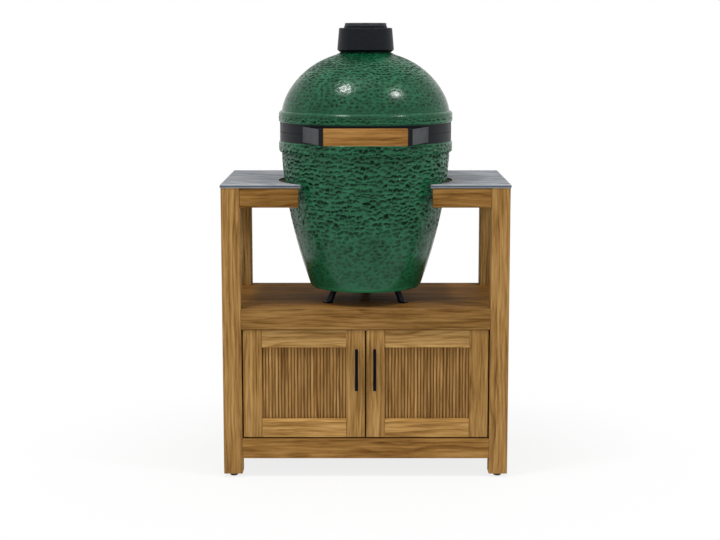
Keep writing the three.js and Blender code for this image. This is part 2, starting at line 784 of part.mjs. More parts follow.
// Felt gasket on the rim of the base
const gasketInner = bandSeatRadius - gasketWidth;
const gasketProfile = [
  [gasketInner, baseRim + runningGap], [bandSeatRadius, baseRim + runningGap],
  [bandSeatRadius, lidRim - runningGap], [gasketInner, lidRim - runningGap],
];
piece(grill, 'rim_gasket', turnedRing(gasketProfile, shellFacets), felt);

// Steel bands round the base and the lid
function band(bottom, top) {
  return turnedRing([[bandInner, bottom], [bandOuter, bottom], [bandOuter, top], [bandInner, top]],
    shellFacets);
}
piece(grill, 'band_lower', band(lowerBandBottom, lowerBandTop), blackSteel);
piece(lid, 'band_upper', band(upperBandBottom, upperBandTop), blackSteel);

// Rear hinge: each bracket is a curved plate on its band with two eyed lugs
const lugInner = hingeSpringSpace / 2;
const lugMiddle = lugInner + hingeLugThickness;
const lugOuter = lugMiddle + hingeLugGap;
const lugRootY = Math.sqrt(bracketInner ** 2 - lugInner ** 2);
function hingeLug(x0, x1, plateBottom, plateTop) {
  const outline = [
    [lugRootY, plateBottom], [hingeY, seamHeight - hingeEyeRadius],
    [hingeY, seamHeight + hingeEyeRadius], [lugRootY, plateTop],
  ];
  const web = prism(outline, x0, x1, 'x');
  const eye = quarterRound([hingeY, seamHeight], hingeEyeRadius, -Math.PI, Math.PI, eyeFacets).slice(1);
  return join(web, prism(eye, x0, x1, 'x'));
}
function hingeBracket(plateBottom, plateTop, lugs) {
  const profile = [
    [bracketInner, plateBottom], [bracketOuter, plateBottom],
    [bracketOuter, plateTop], [bracketInner, plateTop],
  ];
  const sector = wedge(-hingePlateAngle, hingePlateAngle, bracketOuter * 2,
    plateBottom - overrun, plateTop + overrun);
  const plate = common(turnedRing(profile, shellFacets), sector);
  const arms = lugs.map(([x0, x1]) => hingeLug(x0, x1, plateBottom, plateTop));
  const bore = quarterRound([hingeY, seamHeight], hingePinRadius + runningGap, -Math.PI, Math.PI,
    smallFacets);
  const reach = lugOuter + hingeLugThickness + overrun;
  return cut(join(plate, ...arms), prism(bore.slice(1), -reach, reach, 'x'));
}
const lowerLugs = [[-lugOuter - hingeLugThickness, -lugOuter], [lugInner, lugMiddle]];
const upperLugs = [[-lugMiddle, -lugInner], [lugOuter, lugOuter + hingeLugThickness]];
piece(grill, 'hinge_lower_bracket',
  hingeBracket(lowerBandBottom + bracketMargin, lowerBandTop - bracketMargin, lowerLugs), blackSteel);
piece(lid, 'hinge_upper_bracket',
  hingeBracket(upperBandBottom + bracketMargin, upperBandTop - bracketMargin, upperLugs), blackSteel);

function hingePin() {
  const end = lugOuter + hingeLugThickness + runningGap;
  const headRadius = hingePinRadius + hingePinHead;
  const profile = [
    [0, -end - hingePinHead], [headRadius, -end - hingePinHead], [headRadius, -end],
    [hingePinRadius, -end], [hingePinRadius, end], [headRadius, end],
    [headRadius, end + hingePinHead], [0, end + hingePinHead],
  ];
  return turned(profile, smallFacets).rotateY(Math.PI / 2);
}
const pin = piece(grill, 'hinge_pin', hingePin(), brushedSteel);
pin.position.set(0, hingeY, seamHeight);

// Torsion spring wound round the pin, with straight ends square to the lugs
function springPath() {
  const end = lugInner - runningGap;
  const woundEnd = end - springWire;
  const points = [new THREE.Vector3(-end, springMeanRadius, 0)];
  const steps = springCurls * springStepsPerCurl;
  for (let i = 0; i <= steps; i += 1) {
    const angle = (i / steps) * springCurls * 2 * Math.PI;
    const x = -woundEnd + (i / steps) * 2 * woundEnd;
    const y = springMeanRadius * Math.cos(angle);
    const z = springMeanRadius * Math.sin(angle);
    points.push(new THREE.Vector3(x, y, z));
  }
  points.push(new THREE.Vector3(end, springMeanRadius, 0));
  return points;
}
function tubeAlong(path, radius, sideCount) {
  const rings = path.map((point, i) => {
    const before = path[Math.max(i - 1, 0)];
    const after = path[Math.min(i + 1, path.length - 1)];
    const ahead = new THREE.Vector3().subVectors(after, before).normalize();
    const outward = new THREE.Vector3(0, point.y, point.z).normalize();
    outward.addScaledVector(ahead, -outward.dot(ahead)).normalize();
    const sideways = new THREE.Vector3().crossVectors(ahead, outward);
    const ring = [];
    for (let k = 0; k < sideCount; k += 1) {
      const angle = (k / sideCount) * 2 * Math.PI;
      const corner = point.clone();
      corner.addScaledVector(outward, radius * Math.cos(angle));
      corner.addScaledVector(sideways, radius * Math.sin(angle));
      ring.push([corner.x, corner.y, corner.z]);
    }
    return ring;
  });
  return loft(rings);
}
const windings = springPath();
let leastTurnGap = Infinity;
windings.forEach((a, i) => {
  windings.slice(i + springStepsPerCurl / 2).forEach((b) => {
    leastTurnGap = Math.min(leastTurnGap, a.distanceTo(b) - springWire);
  });
});
console.log(`hinge spring: least gap between turns ${leastTurnGap.toFixed(2)} mm`);
const spring = piece(grill, 'hinge_spring', tubeAlong(windings, springWire / 2, springSides), brushedSteel);
spring.position.set(0, hingeY, seamHeight);

// Lid handle: a wooden grip between two plate brackets that stand on the upper band
const gripBack = -gripReach + gripThickness;
const gripEndX = gripLength / 2;
function handleBracket(sign) {
  const rootAngle = THREE.MathUtils.degToRad(armRootAngle);
  const root = [bracketInner * Math.sin(rootAngle), -bracketInner * Math.cos(rootAngle)];
  const tip = [gripEndX + gripEndBlock / 2, (gripBack - gripReach) / 2];
  const run = Math.hypot(tip[0] - root[0], tip[1] - root[1]);
  const outward = [(root[1] - tip[1]) / run, (tip[0] - root[0]) / run];
  const mirror = ([x, y]) => [sign * x, y];
  const armOutline = [
    root, tip,
    [tip[0] + armThickness * outward[0], tip[1] + armThickness * outward[1]],
    [root[0] + armThickness * outward[0], root[1] + armThickness * outward[1]],
  ].map(mirror);
  const armBottom = seamHeight - armHeight / 2;
  const arm = prism(armOutline, armBottom, armBottom + armHeight, 'z');
  const footBottom = upperBandBottom + bracketMargin;
  const footTop = armBottom + armHeight;
  const footProfile = [
    [bracketInner, footBottom], [bracketOuter, footBottom],
    [bracketOuter, footTop], [bracketInner, footTop],
  ];
  const towards = 180 + sign * armRootAngle;
  const away = 180 + sign * (armRootAngle - armFlangeAngle);
  const sector = wedge(Math.min(towards, away), Math.max(towards, away), bracketOuter * 2,
    footBottom - overrun, footTop + overrun);
  const foot = common(turnedRing(footProfile, shellFacets), sector);
  const [end0, end1] = [sign * gripEndX, sign * (gripEndX + gripEndBlock)].sort((a, b) => a - b);
  const gripBottom = seamHeight - gripHeight / 2;
  const endBlock = block(end0, end1, -gripReach, gripBack, gripBottom, gripBottom + gripHeight);
  return join(endBlock, arm, foot);
}
for (const [side, sign] of sides) {
  piece(lid, `handle_bracket_${side}`, handleBracket(sign), darkSteel);
}
const gripOutline = easedRectangle(-gripReach, gripBack, seamHeight - gripHeight / 2,
  seamHeight + gripHeight / 2, gripEase);
piece(lid, 'handle_grip', prism(gripOutline, -gripEndX, gripEndX, 'x'), teak);

// Chimney collar: an iron ring with a sleeve in the lid's hole and the upright pin of the vent cap
const collarBottom = neckHeight + runningGap;
function chimneyCollar() {
  const sleeveRadius = chimneyHole - runningGap;
  const sleeveBottom = collarBottom - collarSleeveDepth;
  const profile = [
    [sleeveRadius, collarBottom], [neckRadius, collarBottom],
    [collarWideRadius, collarBottom + collarBevelHeight],
    [collarTopRadius, collarTop - collarTopEase], [collarTopRadius - collarTopEase, collarTop],
    [collarBore, collarTop], [collarBore, sleeveBottom], [sleeveRadius, sleeveBottom],
  ];
  const capPin = cylinder(capPinRadius, collarTop - overrun, collarTop + capThickness + 2 * runningGap);
  return join(turnedRing(profile, shellFacets), capPin.translate(0, capPinReach, 0));
}
piece(lid, 'chimney_collar', chimneyCollar(), castIron);

// Ports through the vent cap and the vent wheel, as segments of a ring
function ports(z0, z1, turn) {
  const halfAngle = THREE.MathUtils.degToRad(portHalfAngle);
  const cutters = [];
  for (let i = 0; i < portCount; i += 1) {
    const middle = turn + (i * 2 * Math.PI) / portCount;
    const outer = quarterRound([0, 0], portOuter, middle - halfAngle, middle + halfAngle);
    const inner = quarterRound([0, 0], portInner, middle + halfAngle, middle - halfAngle, 1);
    cutters.push(prism([...outer, ...inner], z0, z1, 'z'));
  }
  return cutters;
}
const capBottom = collarTop + runningGap;
const capTop = capBottom + capThickness;
const wheelBottom = capTop + runningGap;
const wheelTop = wheelBottom + wheelHeight;
function ventCap() {
  const disc = cylinder(capRadius, capBottom, capTop, ventFacets);
  const ear = cylinder(capEarRadius, capBottom, capTop).translate(0, capPinReach, 0);
  const axleTop = wheelBottom + wheelPlate;
  const axle = cylinder(wheelAxleRadius, capBottom, axleTop);
  const pinHole = cylinder(capPinRadius + runningGap, capBottom - overrun, capTop + overrun);
  return cut(join(disc, ear, axle), pinHole.translate(0, capPinReach, 0),
    ...ports(capBottom - overrun, capTop + overrun, 0));
}
piece(lid, 'vent_cap', ventCap(), castIron);

function ventWheel() {
  const rimInner = wheelRadius - wheelRimWidth;
  const plateTop = wheelBottom + wheelPlate;
  const profile = [
    [wheelAxleRadius + runningGap, wheelBottom], [wheelRadius, wheelBottom],
    [wheelRadius, wheelTop - wheelEdge],
    ...quarterRound([wheelRadius - wheelEdge, wheelTop - wheelEdge], wheelEdge, 0, Math.PI / 2).slice(1),
    [rimInner, wheelTop], [rimInner - wheelEdge, plateTop], [wheelHubRadius, plateTop],
    [wheelHubRadius, wheelTop - wheelEdge], [wheelAxleRadius + runningGap, wheelTop - wheelEdge],
  ];
  const scallops = [];
  for (let i = 0; i < scallopCount; i += 1) {
    const scallop = new THREE.SphereGeometry(1, scallopFacets, scallopFacets);
    scallop.scale(scallopDepth * 2, scallopHalfWidth, scallopHalfHeight);
    scallop.translate(wheelRadius + scallopDepth, 0, (wheelBottom + wheelTop) / 2);
    scallops.push(scallop.rotateZ(-Math.PI / 2 + (i * 2 * Math.PI) / scallopCount));
  }
  const shift = Math.PI / portCount;
  const openings = ports(wheelBottom - overrun, wheelTop + overrun, shift);
  return cut(turnedRing(profile, ventFacets), ...scallops, ...openings);
}
piece(lid, 'vent_wheel', ventWheel(), castIron);

// Air inlet at the back: a curved track on the base and a draft door that slides in it
function baseRadiusAt(height) {
  for (let i = 0; i + 1 < baseOuter.length; i += 1) {
    const [[r0, z0], [r1, z1]] = [baseOuter[i], baseOuter[i + 1]];
    if (height <= z1) return r0 + ((height - z0) / (z1 - z0)) * (r1 - r0);
  }
  return flangeUnderRadius;
}
// Points given as [distance proud of the base, height] put on the base's slope. Long
// sides follow every bend of the base's outline.
function proudOfBase(points) {
  const outline = [];
  points.forEach(([proud, height], i) => {
    const [nextProud, nextHeight] = points[(i + 1) % points.length];
    outline.push([baseRadiusAt(height) + proud, height]);
    if (nextProud !== proud) return;
    const [low, high] = [Math.min(height, nextHeight), Math.max(height, nextHeight)];
    const bends = baseOuter.filter(([, z]) => z > low && z < high);
    if (nextHeight < height) bends.reverse();
    bends.forEach(([radius, z]) => outline.push([radius + proud, z]));
  });
  return outline;
}
const trackBottom = inletBottom - trackMargin;
const trackTop = inletBottom + inletHeight + trackMargin;
function draftTrack() {
  const inside = runningGap;
  const skin = inside + trackSkin;
  const face = inside + trackDepth;
  const lipBack = skin + 2 * draftDoorClearance + draftDoorThickness;
  const [railTopZ, railBottomZ] = [trackTop - trackRail, trackBottom + trackRail];
  const profile = proudOfBase([
    [inside, trackBottom], [face, trackBottom], [face, railBottomZ + trackLip],
    [lipBack, railBottomZ + trackLip], [lipBack, railBottomZ], [skin, railBottomZ],
    [skin, railTopZ], [lipBack, railTopZ], [lipBack, railTopZ - trackLip],
    [face, railTopZ - trackLip], [face, trackTop], [inside, trackTop],
  ]);
  const sector = wedge(trackStart, trackEnd, footCornerRadius * 2,
    trackBottom - overrun, trackTop + overrun);
  const window = block(-inletWidth / 2, inletWidth / 2, 0, footCornerRadius * 2,
    inletBottom, inletBottom + inletHeight);
  return cut(common(turnedRing(profile, shellFacets), sector), window);
}
piece(grill, 'draft_track', draftTrack(), brushedSteel);

function draftDoor() {
  const back = runningGap + trackSkin + draftDoorClearance;
  const front = back + draftDoorThickness;
  const bottom = trackBottom + trackRail + runningGap;
  const top = trackTop - trackRail - runningGap;
  const plateProfile = proudOfBase([[back, bottom], [front, bottom], [front, top], [back, top]]);
  const sector = wedge(-draftDoorAngle, draftDoorAngle, footCornerRadius * 2,
    bottom - overrun, top + overrun);
  const plate = common(turnedRing(plateProfile, shellFacets), sector);
  const middle = (bottom + top) / 2;
  const tabBottom = middle - pullTabHeight / 2;
  const tabTop = middle + pullTabHeight / 2;
  const tabProfile = proudOfBase([
    [front - draftDoorThickness / 2, tabBottom], [front + pullTabReach, tabBottom],
    [front + pullTabReach, tabTop], [front - draftDoorThickness / 2, tabTop],
  ]);
  const tabFrom = -draftDoorAngle + 2 * pullTabAngle;
  const tabSector = wedge(tabFrom, tabFrom + pullTabAngle, footCornerRadius * 2,
    tabBottom - overrun, tabTop + overrun);
  return join(plate, common(turnedRing(tabProfile, shellFacets), tabSector));
}
piece(grill, 'draft_door', draftDoor(), brushedSteel);

// Fire box with its grate ledge and an air notch that faces the inlet
function fireBox() {
  const seat = baseFloorThickness + runningGap;
  const profile = [
    [fireBoxBore, seat], [fireBoxFoot, seat],
    [fireBoxTopRadius, fireBoxTop], [fireBoxTopRadius - fireBoxWall, fireBoxTop],
    [fireBoxFoot, grateLedgeHeight], [fireBoxBore, grateLedgeHeight],
  ];
  const notch = block(-inletWidth / 2, inletWidth / 2, 0, fireBoxTopRadius,
    baseFloorThickness - overrun, inletBottom + inletHeight);
  return cut(turnedRing(profile, innerFacets), notch);
}
piece(grill, 'fire_box', fireBox(), fireClay);

function fireGrate() {
  const radius = (fireBoxBore + fireBoxFoot) / 2 + grateThickness;
  const bottom = grateLedgeHeight + runningGap;
  const top = bottom + grateThickness;
  const disc = cylinder(radius, bottom, top, innerFacets);
  const slots = [];
  const usable = radius - grateRimWidth;
  const half = Math.floor(usable / grateSlotPitch);
  for (let i = -half; i <= half; i += 1) {
    const y = i * grateSlotPitch;
    const reach = Math.sqrt(usable ** 2 - y ** 2);
    slots.push(block(-reach, reach, y - grateSlotWidth / 2, y + grateSlotWidth / 2,
      bottom - overrun, top + overrun));
  }
  return cut(disc, ...slots);
}
piece(grill, 'fire_grate', fireGrate(), castIron);

const fireRingFoot = fireBoxTop + runningGap;
const fireRingProfile = [
  [fireBoxTopRadius - fireBoxWall, fireRingFoot], [fireBoxTopRadius, fireRingFoot],
  [fireRingTopRadius, fireRingTop], [fireRingTopRadius - fireBoxWall, fireRingTop],
];
piece(grill, 'fire_ring', turnedRing(fireRingProfile, innerFacets), fireClay);

// Cooking grid: parallel rods welded on top of a round rim rod
function cookingGrid() {
  const rodProfile = quarterRound([gridRadius, 0], gridRod / 2, -Math.PI, Math.PI, gridSides);
  const rim = turnedRing(rodProfile.slice(1), innerFacets);
  const rods = [];
  const half = Math.floor((gridRadius - 2 * gridRod) / gridPitch);
  for (let i = -half; i <= half; i += 1) {
    const x = i * gridPitch;
    const reach = Math.sqrt(gridRadius ** 2 - x ** 2) + gridRodEnd;
    const section = quarterRound([x, gridRodLift], gridRod / 2, -Math.PI, Math.PI, gridSides).slice(1);
    rods.push(prism(section, -reach, reach, 'y'));
  }
  return join(rim, ...rods).translate(0, 0, fireRingTop + runningGap + gridRod / 2);
}
piece(grill, 'cooking_grid', cookingGrid(), brushedSteel);

export default grillTable;
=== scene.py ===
"""Finished look of a kamado grill table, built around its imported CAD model.

The file is laid out as an add-on and run as a script. Lengths are in metres.
"""

import json
import math
import random

import bmesh
import bpy
from bpy.props import FloatProperty, FloatVectorProperty, IntProperty, PointerProperty
from mathutils import Euler, Matrix, Vector, noise


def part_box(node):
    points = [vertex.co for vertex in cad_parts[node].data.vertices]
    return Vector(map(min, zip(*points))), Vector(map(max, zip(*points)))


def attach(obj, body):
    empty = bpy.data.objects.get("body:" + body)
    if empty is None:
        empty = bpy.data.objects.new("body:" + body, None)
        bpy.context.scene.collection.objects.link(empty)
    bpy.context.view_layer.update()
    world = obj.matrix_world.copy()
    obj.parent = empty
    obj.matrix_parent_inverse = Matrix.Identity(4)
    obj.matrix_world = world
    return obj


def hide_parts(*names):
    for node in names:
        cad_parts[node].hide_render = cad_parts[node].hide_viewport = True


bl_info = {
    "name": "Kamado grill table",
    "version": (1, 0, 0),
    "blender": (4, 5, 0),
    "location": "3D View > Sidebar > Grill table",
    "description": "Builds the timber, ceramic, iron and steel of a kamado grill table",
    "category": "Add Mesh",
}

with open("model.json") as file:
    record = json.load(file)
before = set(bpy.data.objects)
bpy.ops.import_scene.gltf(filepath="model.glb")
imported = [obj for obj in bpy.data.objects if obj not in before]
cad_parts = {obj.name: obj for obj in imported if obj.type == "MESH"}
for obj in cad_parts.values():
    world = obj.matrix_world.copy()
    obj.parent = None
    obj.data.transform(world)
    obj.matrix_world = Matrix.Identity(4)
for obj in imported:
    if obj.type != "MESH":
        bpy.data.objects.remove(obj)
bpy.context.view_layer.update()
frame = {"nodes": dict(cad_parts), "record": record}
BODY_OF = {
    node: body
    for body, nodes in frame["record"]["behaviour"]["bodies"].items()
    for node in nodes
}

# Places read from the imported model
GRILL_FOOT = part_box("base_shell")[0].z
FLANGE_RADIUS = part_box("lid_shell")[1].x
RIM_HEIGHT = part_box("base_shell")[1].z
LID_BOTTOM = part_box("lid_shell")[0].z
NECK_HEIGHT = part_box("lid_shell")[1].z

# Studio
WHITE = (1.0, 1.0, 1.0, 1.0)
KEY_DIRECTION = Vector((0.0, -0.88, 0.48))
LAMP_TARGET = Vector((0.0, -0.1, 0.85))
LAMPS = (
    ("Left lamp", (-1.30, -1.20, 4.20), (0.66, 0.38), "left_lamp_power"),
    ("Right lamp", (1.95, -1.25, 3.75), (0.46, 0.34), "right_lamp_power"),
    ("Top panel", (0.0, -0.80, 4.10), (1.80, 0.80), "top_lamp_power"),
)
FLOOR_SIZE = 9.0
PHOTO_WIDTH = 720
CENTRE_COLUMN = 365.6

# Tolerances of the mesh work, and the gap left between touching solids
CLEARANCE = 0.0003
MERGE = 1e-5
FLAT_ANGLE = math.radians(0.5)
SHARP_ANGLE = math.radians(38)
CORNER_ANGLE = math.radians(40)
FULL_TURN = 2 * math.pi
QUARTER_TURN = math.pi / 2


# Settings


def colour_setting(name, description, default):
    return FloatVectorProperty(
        name=name, description=description, default=default, subtype="COLOR", min=0, max=1
    )


def length_setting(name, description, default):
    return FloatProperty(name=name, description=description, default=default, unit="LENGTH")


def power_setting(name, description, default):
    return FloatProperty(name=name, description=description, default=default, unit="POWER")


def level_setting(name, description, default):
    return FloatProperty(name=name, description=description, default=default, min=0)


def count_setting(name, description, default, least):
    return IntProperty(name=name, description=description, default=default, min=least)


class StudioSettings(bpy.types.PropertyGroup):
    """Camera, lamps and floor of the studio."""

    camera_distance: length_setting(
        "Camera distance", "From the camera to the worktop's front edge", 4.70
    )
    camera_height: length_setting("Camera height", "Height of the lens above the floor", 1.334)
    camera_pitch: FloatProperty(
        name="Camera pitch",
        description="How far the camera looks down",
        default=math.radians(8.365),
        subtype="ANGLE",
    )
    focal_length: FloatProperty(
        name="Focal length",
        description="Lens in millimetres on a 36 mm wide sensor",
        default=78.96,
    )
    left_lamp_power: power_setting("Left lamp", "Power of the soft lamp high on the left", 62.0)
    right_lamp_power: power_setting("Right lamp", "Power of the soft lamp high on the right", 44.0)
    top_lamp_power: power_setting("Top panel", "Power of the wide panel overhead", 6.0)
    key_strength: level_setting(
        "Key light", "Strength of the sky where it is brightest, high in front", 0.83
    )
    far_strength: level_setting(
        "Far light", "Strength of the sky where it is darkest, low behind", 0.20
    )
    floor_colour: colour_setting("Floor colour", "Colour of the plain floor", (0.86, 0.86, 0.86))
    floor_glow: FloatProperty(
        name="Floor glow",
        description="Share of plain white that the floor shows under the table",
        default=0.82,
        min=0,
        max=1,
    )
    shadow_reach: length_setting(
        "Shadow reach", "Distance at which the floor has faded to plain white", 1.30
    )


class TimberSettings(bpy.types.PropertyGroup):
    """Colours and sizes of the oiled teak."""

    pale: colour_setting("Pale growth", "Colour of the palest wood", (0.500, 0.300, 0.115))
    middle: colour_setting("Middle tone", "Colour of most of the wood", (0.330, 0.178, 0.058))
    dark: colour_setting(
        "Dark streaks", "Colour of the late growth and the streaks", (0.110, 0.045, 0.010)
    )
    ring_width: length_setting("Ring width", "Distance between growth rings", 0.0085)
    edge_radius: length_setting("Edge radius", "Radius of the eased edges of a board", 0.0012)
    reed_count: count_setting("Reeds", "Half-round reeds in each door panel", 26, 2)
    reed_gap: length_setting("Reed gap", "Width of the groove between two reeds", 0.0014)


class GlazeSettings(bpy.types.PropertyGroup):
    """Colours and dimples of the ceramic."""

    thin: colour_setting(
        "Thin glaze", "Colour of the glaze on the high places", (0.014, 0.145, 0.062)
    )
    glaze: colour_setting("Glaze", "Colour of the glaze on smooth places", (0.005, 0.067, 0.027))
    # This darkest glaze colour stands for pooled glaze in the pits and also for painted shade on
    # the bowls' upper sides and at the lid's neck
    pooled_and_shade_colour: colour_setting(
        "Pooled glaze", "Colour of the thick glaze in the dimples", (0.001, 0.016, 0.007)
    )
    clay: colour_setting("Fire clay", "Colour of the unglazed inside", (0.46, 0.38, 0.28))
    base_steps: count_setting("Steps round the base", "Steps of the base's spin", 400, 48)
    lid_steps: count_setting("Steps round the lid", "Steps of the lid's spin", 540, 48)
    base_dimple_width: length_setting(
        "Base dimple width", "Spacing of the dimples round the base", 0.0192
    )
    base_dimple_height: length_setting(
        "Base dimple height", "Spacing of the dimples up the base", 0.0134
    )
    base_dimple_depth: length_setting(
        "Base dimple depth", "Depth of the dimples in the base", 0.0042
    )
    lid_dimple_width: length_setting(
        "Lid dimple width", "Spacing of the dimples round the lid", 0.0155
    )
    lid_dimple_height: length_setting(
        "Lid dimple height", "Spacing of the dimples up the lid", 0.0102
    )
    lid_dimple_depth: length_setting("Lid dimple depth", "Depth of the dimples in the lid", 0.0017)


class MetalSettings(bpy.types.PropertyGroup):
    """Colours of the coated steel, the iron and the stone worktop."""

    satin_black: colour_setting(
        "Satin black", "Powder coat of the bands, nest and handles", (0.006, 0.007, 0.010)
    )
    bracket_grey: colour_setting(
        "Bracket grey", "Coat of the lid handle's brackets", (0.010, 0.013, 0.017)
    )
    iron: colour_setting(
        "Cast iron", "Coat of the chimney collar and the vent", (0.006, 0.008, 0.011)
    )
    stone_dark: colour_setting("Stone, dark", "Darker cloud of the worktop", (0.120, 0.135, 0.154))
    stone_light: colour_setting(
        "Stone, light", "Lighter cloud of the worktop", (0.315, 0.322, 0.340)
    )
    coat_edge: length_setting("Coated edge", "Radius of the edges of bent and cut plate", 0.0008)


# Node helpers


class Recipe:
    """Adds nodes to a material or a world, each with its inputs given by name or number."""

    def __init__(self, owner):
        owner.use_nodes = True
        self.tree = owner.node_tree

    def add(self, kind, inputs=None, **settings):
        node = self.tree.nodes.new(kind)
        for key, value in settings.items():
            setattr(node, key, value)
        for key, value in (inputs or {}).items():
            self.feed(node.inputs[key], value)
        return node

    def feed(self, socket, value):
        if isinstance(value, bpy.types.NodeSocket):
            self.tree.links.new(value, socket)
        else:
            socket.default_value = value

    def shade(self, **inputs):
        shader = self.tree.nodes["Principled BSDF"]
        for key, value in inputs.items():
            self.feed(shader.inputs[key.replace("_", " ")], value)

    def math(self, operation, first, second=0.0, clamp=False):
        inputs = {0: first, 1: second}
        node = self.add("ShaderNodeMath", inputs, operation=operation, use_clamp=clamp)
        return node.outputs[0]

    def vector(self, operation, first, second=(0.0, 0.0, 0.0)):
        node = self.add("ShaderNodeVectorMath", {0: first, 1: second}, operation=operation)
        return node.outputs["Value" if operation in ("LENGTH", "DOT_PRODUCT") else "Vector"]

    def scaled(self, vector, factor):
        node = self.add("ShaderNodeVectorMath", {0: vector, "Scale": factor}, operation="SCALE")
        return node.outputs["Vector"]

    def objects_place(self):
        return self.add("ShaderNodeTexCoord").outputs["Object"]

    def attribute(self, name, output):
        return self.add("ShaderNodeAttribute", attribute_name=name).outputs[output]

    def noise(self, place, scale, detail=2.0, roughness=0.5, output="Fac"):
        inputs = {"Vector": place, "Scale": scale, "Detail": detail, "Roughness": roughness}
        return self.add("ShaderNodeTexNoise", inputs).outputs[output]

    def cells(self, place, scale, output="Distance"):
        return self.add("ShaderNodeTexVoronoi", {"Vector": place, "Scale": scale}).outputs[output]

    def spread(self, value, low, high, to_low=0.0, to_high=1.0):
        inputs = {
            "Value": value,
            "From Min": low,
            "From Max": high,
            "To Min": to_low,
            "To Max": to_high,
        }
        return self.add("ShaderNodeMapRange", inputs).outputs["Result"]

    def ramp(self, value, *stops):
        node = self.add("ShaderNodeValToRGB", {"Fac": value})
        elements = node.color_ramp.elements
        while len(elements) < len(stops):
            elements.new(1.0)
        for element, (place, colour) in zip(elements, stops):
            element.position = place
            element.color = (*colour, 1.0)
        return node.outputs["Color"]

    def mix(self, factor, first, second, blend="MIX"):
        node = self.add("ShaderNodeMix", data_type="RGBA", blend_type=blend)
        self.feed(node.inputs[0], factor)
        for socket, value in ((node.inputs[6], first), (node.inputs[7], second)):
            is_socket = isinstance(value, bpy.types.NodeSocket)
            self.feed(socket, value if is_socket else (*value, 1.0))
        return node.outputs[2]

    def finish(self, output, factor, first, second):
        """Ends the tree in a mix of two shader nodes."""
        inputs = {0: factor, 1: first.outputs[0], 2: second.outputs[0]}
        blend = self.add("ShaderNodeMixShader", inputs)
        self.feed(self.tree.nodes[output].inputs["Surface"], blend.outputs[0])

    def bump(self, height, strength, distance, below=None):
        inputs = {"Height": height, "Strength": strength, "Distance": distance}
        if below is not None:
            inputs["Normal"] = below
        return self.add("ShaderNodeBump", inputs).outputs["Normal"]


def grey(value):
    return (value, value, value)


def tinted(colour, tint):
    return tuple(channel * share for channel, share in zip(colour, tint))


# Materials


def teak_recipe(recipe):
    timber = bpy.context.scene.timber
    grain = recipe.attribute("grain", "Vector")
    tone = recipe.attribute("tone", "Vector")

    def drawn_out(place, share):
        return recipe.vector("MULTIPLY", place, (1.0, 1.0, share))

    def streaks(share, scale, detail, roughness, low, high):
        """Noise drawn out along the grain."""
        level = recipe.noise(drawn_out(grain, share), scale, detail, roughness)
        return recipe.spread(level, low, high)

    warp = recipe.noise(drawn_out(grain, 0.30), 11.0, 2.0, 0.5, "Color")
    warp = recipe.scaled(recipe.vector("SUBTRACT", warp, grey(0.5)), 0.034)
    bent = recipe.vector("ADD", drawn_out(grain, 0.0), warp)
    radius = recipe.vector("LENGTH", drawn_out(bent, 0.0))
    phase = recipe.math("DIVIDE", radius, timber.ring_width)
    ring = recipe.math("FRACT", phase)
    growth = ((0.0, 0.0), (0.45, 0.12), (0.86, 1.0), (1.0, 0.0))
    ring = recipe.ramp(ring, *((place, grey(level)) for place, level in growth))
    streak = streaks(0.060, 150.0, 3.0, 0.62, 0.34, 0.66)
    band = streaks(0.09, 46.0, 2.0, 0.5, 0.32, 0.68)
    fibre = streaks(0.035, 520.0, 2.0, 0.6, 0.3, 0.7)
    pore = streaks(0.09, 330.0, 2.0, 0.5, 0.60, 0.74)
    pore = recipe.math("MULTIPLY", pore, recipe.spread(band, 0.35, 0.9))

    figure = recipe.math("MULTIPLY", ring, 0.22)
    for level, weight in ((streak, 0.32), (band, 0.36), (fibre, 0.12)):
        figure = recipe.math("ADD", figure, recipe.math("MULTIPLY", level, weight))
    colour = recipe.ramp(figure, (0.12, timber.pale), (0.50, timber.middle), (0.95, timber.dark))
    colour = recipe.mix(recipe.math("MULTIPLY", pore, 0.55), colour, timber.dark)
    relief = recipe.math("SUBTRACT", fibre, recipe.math("MULTIPLY", pore, 0.8))
    recipe.shade(
        Base_Color=recipe.vector("MULTIPLY", colour, tone),
        Roughness=recipe.spread(fibre, 0.0, 1.0, 0.55, 0.70),
        Specular_IOR_Level=0.02,
        Normal=recipe.bump(relief, 0.35, 0.0004),
    )


def stone_edge(levels, specular):
    """Makes the recipe for the worktop's edge, between these two shades of its darker cloud."""

    def make(recipe):
        metal = bpy.context.scene.metal
        place = recipe.objects_place()
        cloud = recipe.noise(place, 18.0, 4.0, 0.6)
        speck = recipe.noise(place, 420.0, 2.0, 0.7)
        shades = [tinted(metal.stone_dark, level) for level in levels]
        recipe.shade(
            Base_Color=recipe.mix(recipe.spread(cloud, 0.35, 0.65), *shades),
            Roughness=recipe.spread(speck, 0.3, 0.7, 0.38, 0.50),
            Specular_IOR_Level=specular,
            Normal=recipe.bump(speck, 0.12, 0.0003),
        )

    return make


